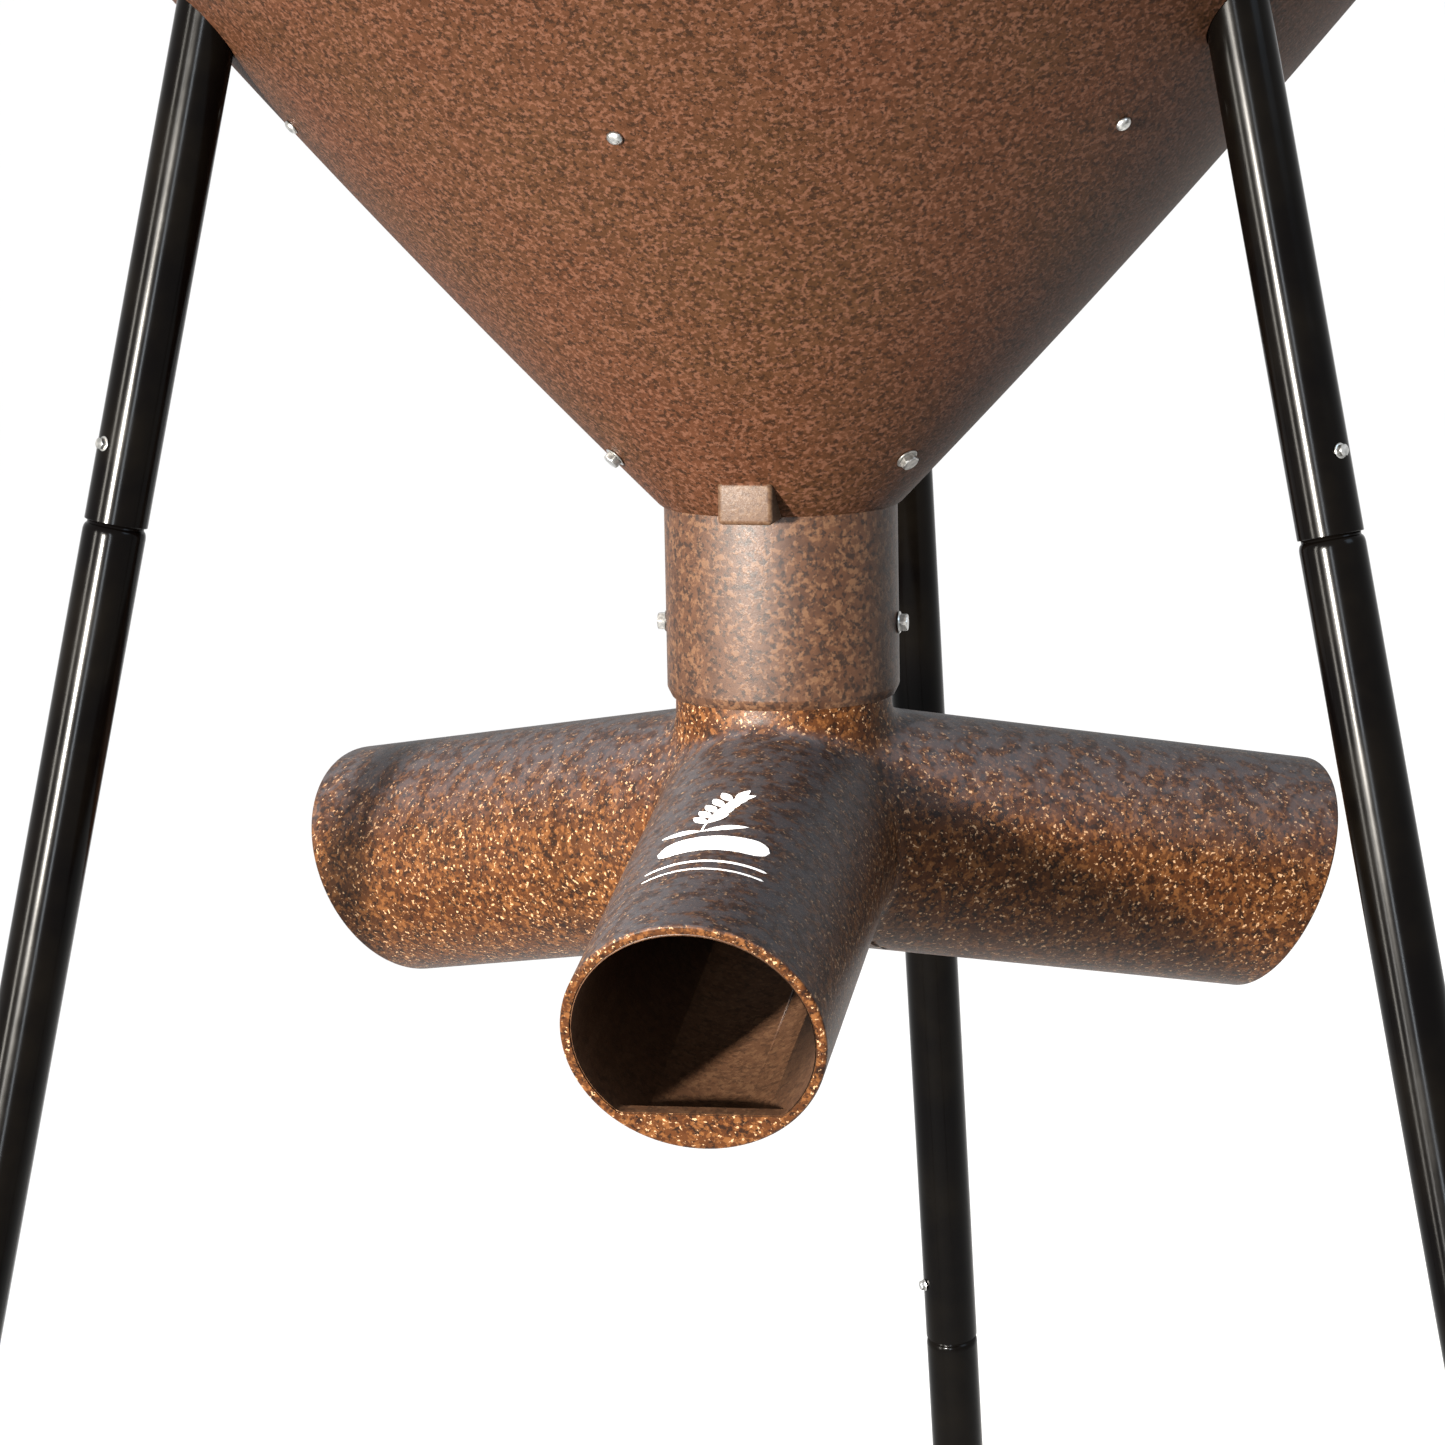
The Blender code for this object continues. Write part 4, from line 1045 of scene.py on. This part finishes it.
def screw(scale):
    """Hex washer-head self-drilling screw; local z = 0 is under its flange."""
    under = FIT / scale
    profile = [(0.0, under), (0.0043, under), (0.0045, 0.0006), (0.0042, 0.0010), (0.0036, 0.0012)]
    flange = turned("flange", profile + [(0.0, 0.0013)], SMALL, closed=False)
    shank = cylinder("shank", 0.0021, -0.0075 / math.sqrt(scale), 0.0006, SMALL)
    mesh = merged([flange, hexagon(0.0037, 0.0010, 0.0040, 0.0006), shank])
    mesh.transform(Matrix.Scale(scale, 4))
    return mesh


def neck_bolt():
    """Hex bolt whose head stands on the washer."""
    foot = WASHER_TOP + FIT
    end = -(STACK + NUT_SEAT + 0.0065)
    shank = cylinder("shank", 0.0030, end, foot + 0.001, SMALL)
    return merged([hexagon(0.0058, foot, foot + 0.0040, 0.0008), shank])


def funnel_bolt():
    end = -(STACK + NUT_SEAT + 0.0055)
    profile = [(0.0, 0.0034), (0.0020, 0.00325), (0.0034, 0.0028), (0.0044, 0.0019), (0.0048, 0.0009)]
    profile += [(0.0047, FIT), (0.0025, FIT), (0.0025, end), (0.0, end)]
    return turned("pan", profile, SMALL, closed=False)


def washer():
    profile = [(NECK_BOLT_HOLE, WASHER_TOP), (0.0068, WASHER_TOP), (0.0070, 0.0010), (0.0070, 0.0005)]
    return turned("washer", profile + [(0.0068, FIT), (NECK_BOLT_HOLE, FIT)], SMALL)


def place_piece(name, mesh, matrix, material, node):
    mesh = mesh.copy()
    mesh.transform(matrix)
    add_piece(name, mesh, material, FEEDER, [node], 32.0)


def build_fasteners(material):
    seat = Matrix.Translation((0.0, 0.0, -STACK - NUT_SEAT))
    large = hexagon(0.0058, -0.0040, 0.0, 0.0007, NECK_BOLT_HOLE)
    small = hexagon(0.0048, -0.0040, 0.0, 0.0006, FUNNEL_BOLT_HOLE)
    for number, azimuth in enumerate(NECK_BOLT_AZIMUTHS, 1):
        matrix = funnel_matrix(azimuth, NECK_BOLT_HEIGHT)
        turn = Matrix.Rotation(math.radians(17.0 * number), 4, "Z")
        place_piece(f"hex_bolt_{number}", neck_bolt(), matrix @ turn, material, f"neck_bolt_{number}")
        place_piece(f"flat_washer_{number}", washer(), matrix, material, f"neck_washer_{number}")
        place_piece(f"hex_nut_{number}", large, matrix @ seat, material, f"neck_nut_{number}")
    for number, azimuth in enumerate(FUNNEL_BOLT_AZIMUTHS, 1):
        matrix = funnel_matrix(azimuth, FUNNEL_BOLT_HEIGHT)
        place_piece(f"pan_bolt_{number}", funnel_bolt(), matrix, material, f"funnel_bolt_{number}")
        place_piece(f"small_nut_{number}", small, matrix @ seat, material, f"funnel_nut_{number}")
    for name in LEG_AZIMUTHS:
        for kind, joint in zip(("lower", "upper"), JOINT_HEIGHTS):
            place_piece(f"tek_{kind}_{name}", screw(1.0), screw_matrix(name, joint), material,
                        f"leg_screw_{kind}_{name}")
    for side, turn in (("right", 0.0), ("left", 180.0)):
        mesh = screw(HEAD_SCREW_SCALE)
        place_piece(f"tek_{side}", mesh, head_screw_matrix(turn), material, f"head_screw_{side}")


# Lid ------------------------------------------------------------------------------------------------
def dome_points(radius, low, rise, steps):
    sphere = (radius**2 + rise**2) / (2 * rise)
    half = math.asin(radius / sphere)
    return [(sphere * math.sin(half * k / steps), low + rise - sphere * (1 - math.cos(half * k / steps)))
            for k in range(steps + 1)]


def build_lid(material):
    foot = COLLAR_TOP + LID_FOOT
    shoulder = COLLAR_TOP + LID_SHOULDER
    corner = 0.008
    edge = LID_SKIRT_RADIUS - corner
    outer = dome_points(edge, shoulder, LID_RISE, 24)
    outer += arc((edge, shoulder - corner), corner, 72.0, 0.0, 6)
    outer += [(LID_SKIRT_RADIUS, foot + 0.0012), (LID_SKIRT_RADIUS - 0.0012, foot)]
    ceiling = COLLAR_TOP + MOUTH_TOP + GASKET_HEIGHT + 2 * FIT
    skirt = LID_SKIRT_RADIUS - LID_WALL
    dome = MOUTH_RADIUS - 0.012
    inner = [(skirt + 0.001, foot), (skirt, foot + 0.001), (skirt, ceiling), (dome, ceiling)]
    inner += dome_points(dome, ceiling, LID_RISE, 20)[:-1][::-1]
    mesh = turned("lid", outer + inner, FINE, Matrix.Translation(AXIS), closed=False)
    grip_center = Matrix.Translation(axis_point(COLLAR_TOP + GRIP_FOOT + GRIP_SIZE[2] / 2))
    steps = [("UNION", box_block("grip", GRIP_SIZE, 0.012, 6, grip_center))]
    high = COLLAR_TOP + CATCH_TOP - CATCH_SIZE[1] - LID_LUG_DROP
    root = LID_SKIRT_RADIUS - LID_WALL / 2
    for number in range(3):
        block = arc_block("lug", LID_LUG_BORE, root, high - LID_LUG_HEIGHT, high, LID_LUG_ARC,
                          ring_turn(number), CATCH_ROUNDING)
        steps.append(("UNION", block))
    add_piece("lid_moulding", combined(mesh, steps), material, LID, ["lid"], 30.0)


def build_gasket(material):
    low = COLLAR_TOP + MOUTH_TOP + FIT
    high = low + GASKET_HEIGHT
    inner = MOUTH_RADIUS - GASKET_WIDTH
    outline = rounded([(inner, low, 0.001), (MOUTH_RADIUS, low, 0.001), (MOUTH_RADIUS, high, 0.001),
                       (inner, high, 0.001)])
    mesh = turned("gasket", outline, FINE, Matrix.Translation(AXIS))
    add_piece("gasket_ring", mesh, material, SEAL, ["lid_gasket"], 40.0)


# Stage ----------------------------------------------------------------------------------------------
def build_floor():
    mesh = turned("floor", [(0.0, 0.0), (6.0, 0.0), (40.0, 0.0), (300.0, 0.0)], 96, closed=False)
    mesh.transform(Matrix.Translation((0.0, 0.0, -0.0005)))
    mesh.materials.append(floor_paint())
    floor = bpy.data.objects.new("floor", mesh)
    bpy.context.scene.collection.objects.link(floor)


def build_camera():
    """Three metres in front, a little to the right, looking slightly down at the head."""
    yaw = math.radians(12.695)
    pitch = math.radians(9.587)
    roll = -0.01839
    forward = Vector((-math.sin(yaw) * math.cos(pitch), math.cos(yaw) * math.cos(pitch), -math.sin(pitch)))
    right = Vector((math.cos(yaw), math.sin(yaw), 0.0))
    up = right.cross(forward)
    side = right * math.cos(roll) + up * math.sin(roll)
    above = up * math.cos(roll) - right * math.sin(roll)
    data = bpy.data.cameras.new("camera")
    data.lens = 122.34
    data.sensor_width = 36.0
    camera = bpy.data.objects.new("camera", data)
    place = Matrix((side, above, -forward)).transposed().to_4x4()
    place.translation = axis_point(1.28, Vector((0.6268, -2.9579, 0.5141)))
    camera.matrix_world = place
    bpy.context.scene.collection.objects.link(camera)
    bpy.context.scene.camera = camera


def add_light(name, azimuth, distance, height, size, power, color, target, spread):
    """A soft box; azimuth is from the front, positive to the right."""
    angle = math.radians(azimuth)
    data = bpy.data.lights.new(name, "AREA")
    data.shape = "RECTANGLE"
    data.size, data.size_y = size
    data.energy = power
    data.color = color
    data.spread = math.radians(spread)
    light = bpy.data.objects.new(name, data)
    position = AXIS + Vector((math.sin(angle) * distance, -math.cos(angle) * distance, height))
    facing = (axis_point(target) - position).normalized()
    light.matrix_world = Matrix.Translation(position) @ facing.to_track_quat("-Z", "Y").to_matrix().to_4x4()
    bpy.context.scene.collection.objects.link(light)


def build_world():
    world = bpy.data.worlds.new("studio")
    world.use_nodes = True
    background = world.node_tree.nodes["Background"]
    background.inputs["Color"].default_value = rgb(1.0, 1.0, 1.0)
    background.inputs["Strength"].default_value = WORLD_LIGHT
    bpy.context.scene.world = world


def build_strip(name, azimuth, distance, width, power, color):
    size = (width, STRIP_LENGTH)
    add_light(name, azimuth, distance, STRIP_HEIGHT, size, power, color, STRIP_HEIGHT, STRIP_SPREAD)


def build_lights():
    """A low warm key from the left, three strips for the legs' streaks, and a cool box on the right."""
    add_light("key", -20.0, 5.0, 1.75, (0.30, 0.30), 110.0, (1.0, 0.94, 0.85), 1.3, 40.0)
    build_strip("strip_left", -50.0, 4.0, 0.40, 40.0, (1.0, 0.95, 0.86))
    build_strip("strip_middle", -27.0, 4.0, 0.30, 26.0, (1.0, 0.97, 0.92))
    build_strip("strip_front", 2.0, 4.2, 0.30, 24.0, (0.86, 0.93, 1.0))
    add_light("sky_box", 70.0, 3.5, 3.6, (1.6, 1.6), 12.0, (0.62, 0.80, 1.0), 1.3, 70.0)
    bpy.context.scene.view_settings.view_transform = "Standard"


def main():
    hopper = hopper_plastic()
    build_hopper(hopper, lug_plastic())
    build_neck(collar_plastic())
    build_head(head_plastic(), bore_plastic())
    build_print(print_ink())
    build_legs(black_paint())
    rubber = black_rubber()
    build_caps(rubber)
    build_gasket(rubber)
    build_fasteners(zinc_plate())
    build_lid(hopper)
    build_floor()
    build_camera()
    build_world()
    build_lights()


main()
